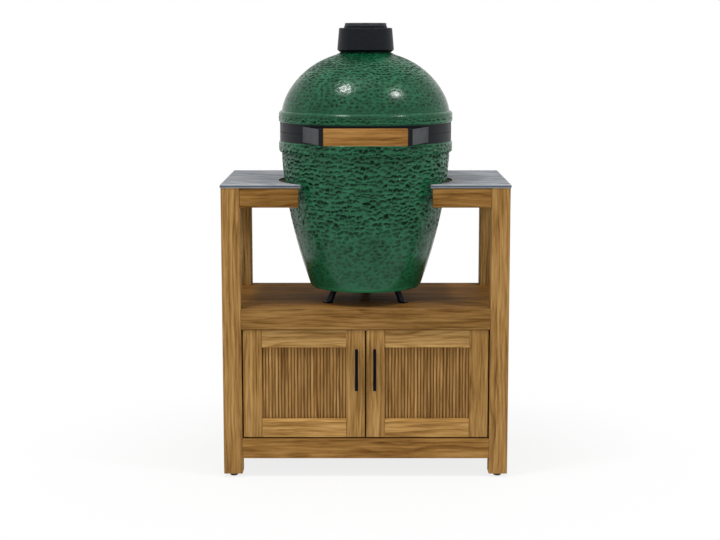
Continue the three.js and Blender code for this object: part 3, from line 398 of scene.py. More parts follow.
def stone_recipe(recipe):
    metal = bpy.context.scene.metal
    place = recipe.objects_place()
    slant = recipe.add("ShaderNodeVectorRotate", {"Vector": place, "Angle": math.radians(24)})
    drift = recipe.vector("MULTIPLY", slant.outputs[0], (0.45, 2.4, 1.0))
    cloud = recipe.noise(drift, 9.0, 5.0, 0.62)
    vein = recipe.noise(drift, 34.0, 4.0, 0.7)
    streak = recipe.noise(recipe.vector("MULTIPLY", drift, (0.7, 1.6, 1.0)), 60.0, 2.0, 0.5)
    speck = recipe.noise(place, 420.0, 2.0, 0.7)
    veined = recipe.spread(vein, 0.4, 0.8, -0.15, 0.35)
    figure = recipe.math("ADD", recipe.spread(cloud, 0.36, 0.64), veined)
    colour = recipe.ramp(figure, (0.15, metal.stone_dark), (0.85, metal.stone_light))
    colour = recipe.mix(recipe.spread(streak, 0.54, 0.68, 0.0, 0.8), colour, metal.stone_light)
    colour = recipe.mix(recipe.spread(speck, 0.55, 0.75, 0.0, 0.35), colour, metal.stone_light)
    recipe.shade(
        Base_Color=colour,
        Roughness=recipe.spread(cloud, 0.3, 0.7, 0.60, 0.76),
        Specular_IOR_Level=0.2,
        Normal=recipe.bump(speck, 0.12, 0.0003),
    )


def glaze_recipe(recipe):
    glaze = bpy.context.scene.glaze
    # The pit attribute holds pooled glaze in the pits and painted shade on the bowls' upper sides
    # and at the lid's neck; the ramp below darkens the glaze by it
    pit = recipe.attribute("pit", "Fac")
    place = recipe.objects_place()
    drift = recipe.noise(place, 14.0, 3.0, 0.6)
    grain = recipe.noise(place, 900.0, 2.0, 0.6)
    long = recipe.vector("MULTIPLY", place, (150.0, 150.0, 290.0))
    ripple = recipe.noise(long, 1.0, 2.0, 0.55)
    pooling_and_shade = recipe.math("ADD", pit, recipe.spread(drift, 0.35, 0.7, -0.05, 0.10))
    rippled = recipe.spread(ripple, 0.3, 0.7, -0.11, 0.11)
    pooling_and_shade = recipe.math("ADD", pooling_and_shade, rippled, True)
    colour = recipe.ramp(pooling_and_shade, (0.0, glaze.thin), (0.30, glaze.glaze), (0.72, glaze.pooled_and_shade_colour))
    bowl = recipe.attribute("bowl", "Fac")
    least_coat = recipe.spread(bowl, 0.0, 0.3, 0.24, 0.02)
    relief = recipe.bump(ripple, bowl, 0.0018, recipe.bump(grain, 0.05, 0.0002))
    recipe.shade(
        Base_Color=colour,
        Roughness=recipe.spread(drift, 0.3, 0.7, 0.21, 0.26),
        Specular_IOR_Level=0.03,
        Coat_Weight=recipe.spread(pooling_and_shade, 0.05, 0.80, 0.55, least_coat),
        Coat_Roughness=0.215,
        Normal=relief,
        Coat_Normal=relief,
    )


def clay_recipe(recipe):
    clay = bpy.context.scene.glaze.clay
    place = recipe.objects_place()
    soot = recipe.spread(recipe.noise(place, 9.0, 4.0, 0.6), 0.42, 0.72)
    grit = recipe.noise(place, 520.0, 3.0, 0.7)
    crack = recipe.spread(recipe.cells(place, 95.0), 0.0, 0.5)
    dirty = tuple(channel * 0.42 for channel in clay)
    colour = recipe.mix(recipe.math("MULTIPLY", soot, 0.55), clay, dirty)
    recipe.shade(
        Base_Color=recipe.mix(recipe.spread(grit, 0.35, 0.65, 0.0, 0.25), colour, dirty),
        Roughness=recipe.spread(grit, 0.3, 0.7, 0.82, 0.96),
        Normal=recipe.bump(recipe.math("ADD", grit, crack), 0.3, 0.0005),
    )


def coated(setting, roughness, strength, specular=0.12, tint=(1.0, 1.0, 1.0)):
    """Makes the recipe for powder-coated steel, whose orange peel has this strength."""

    def make(recipe):
        colour = tinted(getattr(bpy.context.scene.metal, setting), tint)
        place = recipe.objects_place()
        peel = recipe.noise(place, 620.0, 2.0, 0.5)
        rub = recipe.noise(place, 30.0, 4.0, 0.65)
        worn = tuple(channel * 1.7 + 0.004 for channel in colour)
        recipe.shade(
            Base_Color=recipe.mix(recipe.spread(rub, 0.55, 0.8, 0.0, 0.5), colour, worn),
            Roughness=recipe.spread(rub, 0.3, 0.7, roughness - 0.05, roughness + 0.07),
            Specular_IOR_Level=specular,
            Normal=recipe.bump(peel, strength, 0.0003),
        )

    return make


def iron(level, tint=(1.0, 1.0, 1.0)):
    """Makes the recipe for coated cast iron, its colour scaled by a level and a tint."""

    def make(recipe):
        colour = tinted([channel * level for channel in bpy.context.scene.metal.iron], tint)
        place = recipe.objects_place()
        sand = recipe.noise(place, 750.0, 3.0, 0.7)
        lumps = recipe.noise(place, 120.0, 2.0, 0.5)
        worn = tuple(channel * 1.6 for channel in colour)
        recipe.shade(
            Base_Color=recipe.mix(recipe.spread(lumps, 0.45, 0.7, 0.0, 0.7), colour, worn),
            Roughness=recipe.spread(sand, 0.3, 0.7, 0.38, 0.52),
            Specular_IOR_Level=0.12,
            Normal=recipe.bump(recipe.math("ADD", sand, lumps), 0.16, 0.0004),
        )

    return make


def steel_recipe(recipe):
    place = recipe.objects_place()
    brush = recipe.noise(recipe.vector("MULTIPLY", place, (1.0, 18.0, 18.0)), 60.0, 2.0, 0.6)
    recipe.shade(
        Base_Color=recipe.mix(recipe.spread(brush, 0.3, 0.7), (0.44, 0.45, 0.46), grey(0.58)),
        Metallic=1.0,
        Roughness=recipe.spread(brush, 0.3, 0.7, 0.26, 0.40),
        Normal=recipe.bump(brush, 0.08, 0.0002),
    )


def felt_recipe(recipe):
    place = recipe.objects_place()
    fuzz = recipe.noise(place, 1300.0, 3.0, 0.8)
    shades = (0.020, 0.020, 0.019), (0.065, 0.063, 0.060)
    recipe.shade(
        Base_Color=recipe.mix(recipe.spread(fuzz, 0.35, 0.65), *shades),
        Roughness=0.95,
        Sheen_Weight=0.3,
        Normal=recipe.bump(fuzz, 0.6, 0.0006),
    )


def plastic_recipe(recipe):
    place = recipe.objects_place()
    grain = recipe.cells(place, 1400.0)
    recipe.shade(
        Base_Color=recipe.mix(recipe.spread(grain, 0.0, 0.6), grey(0.012), grey(0.024)),
        Roughness=recipe.spread(grain, 0.0, 0.6, 0.5, 0.62),
        Normal=recipe.bump(grain, 0.15, 0.0002),
    )


def seen_rays(recipe):
    """1 for camera, glossy and transmission rays."""
    path = recipe.add("ShaderNodeLightPath").outputs
    total = recipe.math("MAXIMUM", path["Is Camera Ray"], path["Is Glossy Ray"])
    return recipe.math("MAXIMUM", total, path["Is Transmission Ray"])


def floor_recipe(recipe):
    """A plain floor that keeps the shadow and fades to plain white around it."""
    studio = bpy.context.scene.studio
    recipe.shade(Base_Color=(*studio.floor_colour, 1.0), Roughness=0.8, Specular_IOR_Level=0.1)
    inputs = {
        "Value": recipe.vector("LENGTH", recipe.objects_place()),
        "From Min": studio.shadow_reach * 0.35,
        "From Max": studio.shadow_reach,
        "To Min": studio.floor_glow,
        "To Max": 1.0,
    }
    fade = recipe.add("ShaderNodeMapRange", inputs, interpolation_type="SMOOTHSTEP")
    share = recipe.math("MULTIPLY", seen_rays(recipe), fade.outputs["Result"])
    glow = recipe.add("ShaderNodeEmission", {"Color": WHITE, "Strength": 1.0})
    recipe.finish("Material Output", share, recipe.tree.nodes["Principled BSDF"], glow)


# Shades of the worktop's edges, as shares of its darker cloud: the rounded edge is painted lighter
# as a painted highlight, and the vertical sides are a darker, bluer copy
EDGE_HIGHLIGHT_STONE = ((3.0, 2.8, 2.5), (3.6, 3.3, 3.0))
# The vertical sides: a darker, bluer copy of the stone's dark cloud
SIDE_STONE = ((0.50, 0.62, 0.74), (0.72, 0.78, 0.84))

# The looks, each with its material's name, its slot and its recipe
LOOKS = {
    "floor": ("Studio floor", None, floor_recipe),
    "teak": ("Oiled teak", "teak", teak_recipe),
    "stone": ("Honed stone", "stone", stone_recipe),
    "worn_stone": ("Worn stone edge", "stone", stone_edge(EDGE_HIGHLIGHT_STONE, 0.4)),
    "sawn_stone": ("Sawn stone edge", "stone", stone_edge(SIDE_STONE, 0.3)),
    "glaze": ("Green glaze", "green_glaze", glaze_recipe),
    "clay": ("Fire clay", "fire_clay", clay_recipe),
    "satin_black": ("Satin black coat", "black_steel", coated("satin_black", 0.42, 0.10)),
    "bar_black": (
        "Bar black coat",
        "black_steel",
        coated("satin_black", 0.40, 0.10, specular=0.04, tint=(0.3, 0.45, 0.7)),
    ),
    "bracket_grey": ("Dark grey coat", "dark_steel", coated("bracket_grey", 0.36, 0.08)),
    "cast_iron": ("Coated cast iron", "cast_iron", iron(0.8)),
    "turned_iron": ("Turned cast iron", "cast_iron", iron(4.8, (1.25, 1.02, 0.84))),
    "steel": ("Brushed steel", "brushed_steel", steel_recipe),
    "felt": ("Gasket felt", "felt", felt_recipe),
    "plastic": ("Black plastic", "black_plastic", plastic_recipe),
}


def look(key):
    """The material of that look, made on its first use."""
    name, _, make = LOOKS[key]
    if name not in bpy.data.materials:
        make(Recipe(bpy.data.materials.new(name)))
    return bpy.data.materials[name]


# Mesh helpers


def cad_copy(*nodes):
    """Copies of CAD nodes in one mesh, with their loose triangles merged into flat faces."""
    form = bmesh.new()
    for node in nodes:
        form.from_mesh(frame["nodes"][node].data)
    bmesh.ops.remove_doubles(form, verts=form.verts, dist=MERGE)
    bmesh.ops.dissolve_limit(form, angle_limit=FLAT_ANGLE, verts=form.verts, edges=form.edges)
    return form


def bevel(form, edges, radius, segments, clamp_overlap=False):
    bmesh.ops.bevel(
        form,
        geom=edges,
        offset=radius,
        offset_type="OFFSET",
        segments=segments,
        profile=0.5,
        affect="EDGES",
        clamp_overlap=clamp_overlap,
        material=-1,
    )


def ease_edges(form, radius, segments=3, least_length=0.0, least_angle=CORNER_ANGLE):
    """Rounds the edges whose faces meet at a marked corner."""
    edges = [
        edge
        for edge in form.edges
        if edge.is_manifold
        and edge.calc_face_angle() > least_angle
        and edge.calc_length() > least_length
    ]
    bevel(form, edges, radius, segments, clamp_overlap=True)


def box_form(low, high):
    form = bmesh.new()
    size = Vector(high) - Vector(low)
    middle = (Vector(high) + Vector(low)) / 2
    place = Matrix.Translation(middle) @ Matrix.Diagonal((*size, 1))
    bmesh.ops.create_cube(form, size=1.0, matrix=place)
    return form


def spun(profile, steps, closed=True, rows=None):
    """A form of revolution about the Z axis through [radius, height] points.

    The rows, one number for each point, are kept on the vertices as the row attribute.
    """
    form = bmesh.new()
    row = form.verts.layers.float.new("row")
    form.verts.layers.float.new("pit")
    form.verts.layers.float.new("bowl")
    verts = [form.verts.new((radius, 0.0, height)) for radius, height in profile]
    for vert, number in zip(verts, rows or [0.0] * len(verts)):
        vert[row] = number
    pairs = list(zip(verts, verts[1:]))
    if closed:
        pairs.append((verts[-1], verts[0]))
    edges = [form.edges.new(pair) for pair in pairs]
    bmesh.ops.spin(
        form,
        geom=verts + edges,
        cent=(0, 0, 0),
        axis=(0, 0, 1),
        dvec=(0, 0, 0),
        angle=FULL_TURN,
        steps=steps,
        use_merge=True,
    )
    bmesh.ops.remove_doubles(form, verts=form.verts, dist=MERGE)
    bmesh.ops.recalc_face_normals(form, faces=form.faces)
    return form


def arc(centre, radius, start, end, steps):
    """Points on an arc from one angle to another, in degrees."""
    angles = [math.radians(start + (end - start) * i / steps) for i in range(steps + 1)]
    return [(centre[0] + radius * math.cos(a), centre[1] + radius * math.sin(a)) for a in angles]


def curve_points(start, first_share, second_share, end, steps):
    """Points on a cubic curve whose handles are shares of the way from start to end."""
    start, end = Vector(start), Vector(end)
    span = end - start
    first = start + Vector((first_share[0] * span.x, first_share[1] * span.y))
    second = start + Vector((second_share[0] * span.x, second_share[1] * span.y))
    points = []
    for i in range(steps + 1):
        t = i / steps
        point = (
            start * (1 - t) ** 3
            + first * 3 * (1 - t) ** 2 * t
            + second * 3 * (1 - t) * t**2
            + end * t**3
        )
        points.append((point.x, point.y))
    return points


def straight(start, end, steps):
    """Points from start to end, with the end left out."""
    start, end = Vector(start), Vector(end)
    return [tuple(start.lerp(end, i / steps)) for i in range(steps)]


def rounded_section(low, high, radius, steps=3):
    """A rectangle of [radius, height] points with round corners."""
    (r0, z0), (r1, z1) = low, high
    return (
        arc((r1 - radius, z0 + radius), radius, -90, 0, steps)
        + arc((r1 - radius, z1 - radius), radius, 0, 90, steps)
        + arc((r0 + radius, z1 - radius), radius, 90, 180, steps)
        + arc((r0 + radius, z0 + radius), radius, 180, 270, steps)
    )


def merged(*forms):
    """Several forms in one mesh."""
    whole = bmesh.new()
    for form in forms:
        scratch = bpy.data.meshes.new("scratch")
        form.to_mesh(scratch)
        form.free()
        whole.from_mesh(scratch)
        bpy.data.meshes.remove(scratch)
    return whole


def rod(start, end, radius, sides=16):
    """A round rod between two points with slightly eased ends."""
    start, end = Vector(start), Vector(end)
    along = end - start
    turn = along.to_track_quat("Z", "Y").to_matrix().to_4x4()
    place = Matrix.Translation((start + end) / 2) @ turn
    form = bmesh.new()
    bmesh.ops.create_cone(
        form,
        cap_ends=True,
        segments=sides,
        radius1=radius,
        radius2=radius,
        depth=along.length,
        matrix=place,
    )
    rims = [edge for edge in form.edges if edge.calc_face_angle(0.0) > QUARTER_TURN * 0.9]
    bevel(form, rims, radius * 0.2, 2)
    return form


def bolt(centre, outward, head_radius, head_height, steps=20):
    """A domed bolt head whose flat side lies at centre."""
    dome = arc((0.0, 0.0), 1.0, 0, 90, 5)
    shank = [(0.0, -0.4), (1.0, -0.4)]
    profile = [(x * head_radius, y * head_height) for x, y in shank + dome[:-1] + [(0.0, 1.0)]]
    form = spun(profile, steps, closed=False)
    turn = Vector(outward).to_track_quat("Z", "Y").to_matrix().to_4x4()
    bmesh.ops.transform(form, matrix=Matrix.Translation(centre) @ turn, verts=form.verts)
    return form


def extrude_up(form, height):
    """Makes a flat form a solid of that height."""
    lift = bmesh.ops.extrude_face_region(form, geom=form.faces[:])
    raised = [item for item in lift["geom"] if isinstance(item, bmesh.types.BMVert)]
    bmesh.ops.translate(form, vec=(0, 0, height), verts=raised)
    bmesh.ops.recalc_face_normals(form, faces=form.faces)


def mesh_of(name, form):
    mesh = bpy.data.meshes.new(name)
    form.to_mesh(mesh)
    form.free()
    return mesh


def linked(name, data):
    """A new object in the scene."""
    ob = bpy.data.objects.new(name, data)
    bpy.context.scene.collection.objects.link(ob)
    return ob


def evaluated_form(ob):
    """The object's mesh with its modifiers or its curve's thickness worked out."""
    evaluated = ob.evaluated_get(bpy.context.evaluated_depsgraph_get())
    form = bmesh.new()
    form.from_mesh(evaluated.to_mesh())
    evaluated.to_mesh_clear()
    return form


def carved(form, *cutters):
    """The form with each cutter's volume taken out of it."""
    target = linked("carving", mesh_of("carving", form))
    for i, cutter in enumerate(cutters):
        step = target.modifiers.new("Cut", "BOOLEAN")
        step.operation = "DIFFERENCE"
        step.solver = "EXACT"
        step.object = linked(f"cutter_{i}", mesh_of("cutter", cutter))
    result = evaluated_form(target)
    for ob in [target] + [step.object for step in target.modifiers]:
        mesh = ob.data
        bpy.data.objects.remove(ob)
        bpy.data.meshes.remove(mesh)
    return result


def place_piece(name, form, node, *looks, sharp=SHARP_ANGLE, even=True):
    """Makes the piece, lets it ride on its body, and hides the CAD node that it stands for.

    The looks are its materials in order.
    """
    mesh = mesh_of(name, form)
    mesh.shade_smooth()
    mesh.set_sharp_from_angle(angle=sharp)
    for key in looks:
        mesh.materials.append(look(key))
    piece = linked(name, mesh)
    if even:
        shading = piece.modifiers.new("Even shading", "WEIGHTED_NORMAL")
        shading.keep_sharp = True
    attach(piece, BODY_OF[node])
    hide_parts(node)


def place_eased(name, node, key, radius, segments=3, least_length=0.0, **angle):
    """Places a CAD node as it is but for its rounded edges."""
    form = cad_copy(node)
    ease_edges(form, radius, segments, least_length, **angle)
    place_piece(name, form, node, key)


# Timber helpers

AXES = {"x": (1, 2, 0), "y": (2, 0, 1), "z": (0, 1, 2)}
PLAIN_TINT = (0.94, 0.94, 0.87)
TINTS = {
    "leg_front_left": (0.98, 0.98, 0.92),
    "leg_front_right": (0.98, 0.98, 0.92),
    "leg_rear_left": (0.91, 0.91, 0.86),
    "leg_rear_right": (0.91, 0.91, 0.86),
    "top_rail_front_left": (0.67, 0.60, 0.45),
    "top_rail_front_right": (0.72, 0.66, 0.52),
    "top_rail_left": (0.80, 0.76, 0.68),
    "top_rail_right": (0.80, 0.76, 0.68),
    "top_rail_rear": (0.80, 0.76, 0.68),
    "shelf_rail_front": (0.70, 0.66, 0.57),
    "base_rail_front": (0.84, 0.78, 0.65),
    # The shelf's darker tint is partly its own colour and partly painted shade for the shade under
    # the worktop and the grill
    "shelf": (0.60, 0.50, 0.31),
    "left_door_top_rail": (0.96, 1.00, 0.98),
    "right_door_top_rail": (0.96, 1.00, 0.98),
    "left_door_bottom_rail": (1.16, 1.17, 1.08),
    "right_door_bottom_rail": (1.16, 1.17, 1.08),
}


def grain_layers(form):
    form.verts.layers.float_vector.new("grain")
    form.verts.layers.float_vector.new("tone")


def mark_grain(form, verts, along, seed, tone=(1.0, 1.0, 1.0)):
    """Writes each vertex's place in its own board, with the grain along Z, and a tint."""
    draw = random.Random(seed)
    reach = ((0.04, 0.12), (0.03, 0.09), (-1.5, 1.5))
    heart = Vector([draw.uniform(*bounds) for bounds in reach])
    heart.x *= draw.choice((-1, 1))
    heart.y *= draw.choice((-1, 1))
    verts = list(verts)
    middle = sum((vert.co for vert in verts), Vector()) / len(verts)
    grain = form.verts.layers.float_vector["grain"]
    tint = form.verts.layers.float_vector["tone"]
    order = AXES[along]
    for vert in verts:
        place = vert.co - middle
        vert[grain] = Vector([place[i] for i in order]) + heart
        vert[tint] = tone


def board(node, along, edge=None, least_length=0.012):
    """A CAD board with eased edges and a grain of its own."""
    timber = bpy.context.scene.timber
    form = cad_copy(node)
    ease_edges(form, edge or timber.edge_radius, least_length=least_length)
    grain_layers(form)
    mark_grain(form, form.verts, along, node, TINTS.get(node, PLAIN_TINT))
    place_piece(f"teak_{node}", form, node, "teak")


def staved_board(node, along, across, count, contrast):
    """A CAD board glued up from staves side by side on one axis, each with its own grain."""
    low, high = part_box(node)
    form = cad_copy(node)
    ease_edges(form, bpy.context.scene.timber.edge_radius, least_length=0.012)
    width = (high[across] - low[across]) / count
    normal = Vector((0, 0, 0))
    normal[across] = 1.0
    for i in range(1, count):
        place = low.copy()
        place[across] += i * width
        everything = form.verts[:] + form.edges[:] + form.faces[:]
        bmesh.ops.bisect_plane(form, geom=everything, plane_co=place, plane_no=normal, dist=MERGE)

    def stave_of(face):
        stave = int((face.calc_center_median()[across] - low[across]) / width)
        return max(0, min(count - 1, stave))

    seams = [edge for edge in form.edges if len({stave_of(face) for face in edge.link_faces}) > 1]
    bmesh.ops.split_edges(form, edges=seams)
    grain_layers(form)
    draw = random.Random(node)
    tint = TINTS.get(node, PLAIN_TINT)
    for i in range(count):
        verts = [vert for vert in form.verts if stave_of(vert.link_faces[0]) == i]
        level = 1.0 + contrast * draw.uniform(-1.0, 1.0)
        mark_grain(form, verts, along, f"{node} {i}", [channel * level for channel in tint])
    place_piece(f"teak_{node}", form, node, "teak")


# Doors

REED_END_GAP = 0.0003
PANEL_PLATE = 0.010
MOULDING_WIDTH = 0.0095
MOULDING_RISE = 0.0006
MOULDING_DEPTH = 0.004

# Ceramic profiles, as heights above the grill's foot

BASE_LOWER_SHARE = (0.53, 0.325)
BASE_UPPER_SHARE = (0.92, 0.655)
DOME_LOWER_SHARE = (0.045, 0.319)
DOME_UPPER_SHARE = (0.381, 0.791)
WALL = 0.024
FOOT_RADIUS = 0.155
FOOT_CORNER = (0.173, 0.011)
FLANGE_ROUND = 0.008
FLANGE_BOTTOM = 0.427
BAND_SEAT_DEPTH = 0.006
BAND_SEAT_BOTTOM = 0.452
BAND_SEAT_TOP = 0.512
LIP = 0.003
RIDGE_TOP = 0.536
RIDGE_ROUND = 0.010
RIDGE_FULLNESS = 1.3
DOME_END = (0.1094, 0.709)
NECK = (0.078, 0.7217)
CHIMNEY_HOLE = 0.069
SHELL_FLOOR = 0.028
DRIFT_OFFSET = Vector((31.7, 5.3, 17.1))
INLET_HALF_WIDTH = 0.042
INLET_BOTTOM = 0.036
INLET_TOP = 0.072
BACK_WALL_START = 0.09


def base_profile():
    """Outside points, then inside points, of the base's wall."""
    flange_under = (FLANGE_RADIUS - FLANGE_ROUND, FLANGE_BOTTOM - FLANGE_ROUND)
    seat = FLANGE_RADIUS - BAND_SEAT_DEPTH
    rim = RIM_HEIGHT - GRILL_FOOT
    body = curve_points(FOOT_CORNER, BASE_LOWER_SHARE, BASE_UPPER_SHARE, flange_under, 190)
    flange = arc((flange_under[0], FLANGE_BOTTOM), FLANGE_ROUND, -90, 0, 6)[1:]
    face_top = BAND_SEAT_BOTTOM - LIP
    lip = arc((FLANGE_RADIUS - LIP, face_top), LIP, 0, 90, 4)
    outside = (
        straight((0.0, 0.0), (FOOT_RADIUS, 0.0), 2)
        + straight((FOOT_RADIUS, 0.0), (0.167, 0.0018), 2)
        + straight((0.167, 0.0018), FOOT_CORNER, 3)
        + body
        + flange
        + straight(flange[-1], lip[0], 8)[1:]
        + lip
        + [(seat, BAND_SEAT_BOTTOM)]
    )
    inner_foot = (FOOT_CORNER[0] - WALL, SHELL_FLOOR + FOOT_CORNER[1])
    inner_top = (flange_under[0] - WALL, flange_under[1])
    inner = curve_points(inner_foot, BASE_LOWER_SHARE, BASE_UPPER_SHARE, inner_top, 12)
    inside = (
        [(seat, rim), (seat - WALL, rim)]
        + inner[::-1]
        + [(inner_foot[0] - FOOT_CORNER[1], SHELL_FLOOR), (0.0, SHELL_FLOOR)]
    )
    return outside, inside


def lid_profile():
    """Outside points, then inside points, of the lid's wall."""
    seat = FLANGE_RADIUS - BAND_SEAT_DEPTH
    rim = LID_BOTTOM - GRILL_FOOT
    lip = arc((FLANGE_RADIUS - LIP, BAND_SEAT_TOP + LIP), LIP, -90, 0, 4)
    ridge = []
    for i in range(11):
        turn = QUARTER_TURN * i / 10
        inward = RIDGE_ROUND * (1 - math.cos(turn) ** RIDGE_FULLNESS)
        upward = RIDGE_ROUND * math.sin(turn) ** RIDGE_FULLNESS
        ridge.append((FLANGE_RADIUS - inward, RIDGE_TOP + upward))
    dome_foot = (FLANGE_RADIUS - RIDGE_ROUND, RIDGE_TOP + RIDGE_ROUND)
    dome = curve_points(dome_foot, DOME_LOWER_SHARE, DOME_UPPER_SHARE, DOME_END, 126)[1:]
    neck_bend = ((DOME_END[0] + NECK[0]) / 2 - LIP, (DOME_END[1] + NECK[1]) / 2)
    outside = (
        [(seat, rim), (seat, BAND_SEAT_TOP)]
        + lip
        + straight(lip[-1], ridge[0], 8)[1:]
        + ridge
        + dome
        + straight(dome[-1], neck_bend, 6)[1:]
        + straight(neck_bend, NECK, 6)
    )
    inner_foot = (dome_foot[0] - WALL, dome_foot[1])
    inner_top = (CHIMNEY_HOLE, NECK[1] - WALL)
    inner = curve_points(inner_foot, DOME_LOWER_SHARE, DOME_UPPER_SHARE, inner_top, 14)
    inside = (
        [NECK, (CHIMNEY_HOLE, NECK[1])]
        + inner[::-1]
        + [(seat - WALL, rim)]
    )
    return outside, inside


def lengths_along(points):
    """The length of the line up to each of its points."""
    total = 0.0
    lengths = [0.0]
    for first, second in zip(points, points[1:]):
        total += math.dist(first, second)
        lengths.append(total)
    return lengths


def glazed_shell(outside, inside, steps, closed):
    """A spun shell whose row attribute is the length up its glazed outside, or -1 inside."""
    rows = lengths_along(outside) + [-1.0] * len(inside)
    return spun(outside + inside, steps, closed, rows)


class Dimples:
    """Dimples pressed into soft clay in loose rings, each a given width and height."""

    def __init__(self, outside, width, height, seed):
        self.width = width
        self.height = height
        draw = random.Random(seed)
        lengths = lengths_along(outside)
        self.rings = []
        for number in range(int(lengths[-1] / height) + 2):
            length = number * height
            beyond = (point for point, at in zip(outside, lengths) if at >= length)
            radius = next(beyond, outside[-1])[0]
            count = max(6, round(FULL_TURN * radius / width))
            start = draw.random()
            ring = []
            for i in range(count):
                place = i + start + draw.uniform(-0.36, 0.36)
                ring.append((place, length + height * draw.uniform(-0.36, 0.36), draw.random()))
            self.rings.append(ring)

    def nearest(self, angle, length, radius):
        """The distances to the two nearest dimples, the rise above the nearest, and its strength.

        The first two are in dimples and the rise is in dimple heights.
        """
        turn = angle / FULL_TURN
        near = following = 9.0
        rise = strength = 0.0
        middle = round(length / self.height)
        for number in range(max(0, middle - 1), min(len(self.rings), middle + 2)):
            ring = self.rings[number]
            count = len(ring)
            place = turn * count
            first = int(math.floor(place)) - 1
            for k in range(first, first + 4):
                at, up, power = ring[k % count]
                steps = (place - at + count / 2) % count - count / 2
                across = steps * FULL_TURN * radius / (count * self.width)
                above = (length - up) / self.height
                distance = math.hypot(across, above)
                if distance < near:
                    near, following = distance, near
                    rise, strength = above, power
                elif distance < following:
                    following = distance
        return near, following, rise, strength


PIT_RADIUS = 0.47
LEAST_STRENGTH = 0.45


def varied(strength):
    """A dimple's random strength, 0 to 1, brought between the least strength and 1."""
    return LEAST_STRENGTH + (1.0 - LEAST_STRENGTH) * strength


def hammered(near, following):
    """A bowl that ends in a ridge half-way to its neighbours."""
    return 1.0 - (near / following) ** 2


def painted_shade_crescent(near, following, rise):
    """Painted shade on the upper side of a bowl, where its wall faces down, and a softer painted
    gradient that darkens the bowl from its lower side up.
    """
    aside = math.sqrt(max(0.0, near * near - rise * rise))
    inward = following - near
    dark = soft_step(inward, 0.03, 0.18) * (1.0 - soft_step(inward, 0.36, 0.82))
    dark *= soft_step(rise, -0.12, 0.16) * (1.0 - soft_step(aside, 0.27, 0.57))
    slope = soft_step(rise, -0.45, 0.35) * soft_step(inward, 0.0, 0.25)
    return min(1.0, 1.30 * dark + 0.26 * slope)


def pitted(near, strength):
    """A small pit in a smooth glaze."""
    return max(0.0, 1.0 - (near / PIT_RADIUS) ** 2) ** 1.5 * varied(strength)


def press_dimples(form, dimples, depth, sway, surface):
    """Presses the dimples into the glazed rows and writes how dark the glaze is at each vertex.

    The surface tells the dimples' share of their depth, how far they are bowls instead of pits,
    and the glaze's darkness at rest. The glaze is darker in the pits, where it pools, and is
    painted darker on the bowls' upper sides and towards the lid's neck, as painted shade.
    """
    row = form.verts.layers.float["row"]
    pit = form.verts.layers.float["pit"]
    rippled = form.verts.layers.float["bowl"]
    form.normal_update()
    pushed = []
    for vert in form.verts:
        length = vert[row]
        if length < 0:
            continue
        share = surface.share(vert.co)
        if share <= 0:
            continue
        x, y, z = vert.co
        bowls = surface.bowls(z)
        radius = math.hypot(x, y)
        drift = vert.co * (0.7 / dimples.height)
        aside = sway * noise.noise(drift)
        above = sway * noise.noise(drift + DRIFT_OFFSET)
        angle = math.atan2(y, x) + aside * dimples.width / radius
        length += above * dimples.height
        near, following, rise, strength = dimples.nearest(angle, length, radius)
        bowl = bowls * varied(strength)
        hole = (1.0 - bowls) * pitted(near, strength)
        # Painted shade on the bowls' upper sides, added to the pooled glaze in the pits
        pooled_and_shaded = bowl * painted_shade_crescent(near, following, rise) + 0.95 * hole
        least = surface.resting_glaze_and_shade(z) * (1.0 - 0.55 * bowls)
        vert[pit] = least + (1.0 - least) * min(1.0, math.sqrt(share) * pooled_and_shaded)
        vert[rippled] = 0.6 * share * bowls
        pushed.append((vert, share * (bowl * hammered(near, following) + 0.06 * hole)))
    for vert, press in pushed:
        vert.co -= vert.normal * depth * press


def place_shell(name, form, node):
    """Places a ceramic shell, glazed outside and bare clay inside."""
    row = form.verts.layers.float["row"]
    for face in form.faces:
        glazed_corners = sum(vert[row] >= 0 for vert in face.verts)
        face.material_index = int(glazed_corners < len(face.verts) / 2)
    bmesh.ops.translate(form, vec=(0, 0, GRILL_FOOT), verts=form.verts)
    place_piece(name, form, node, "glaze", "clay", sharp=math.radians(60), even=False)


def soft_step(value, start, end):
    """0 before start, 1 after end, and a smooth rise between."""
    share = max(0.0, min(1.0, (value - start) / (end - start)))
    return share * share * (3 - 2 * share)


# Operators


class PieceOperator:
    """What the operators share: the register and undo options."""

    bl_options = {"REGISTER", "UNDO"}


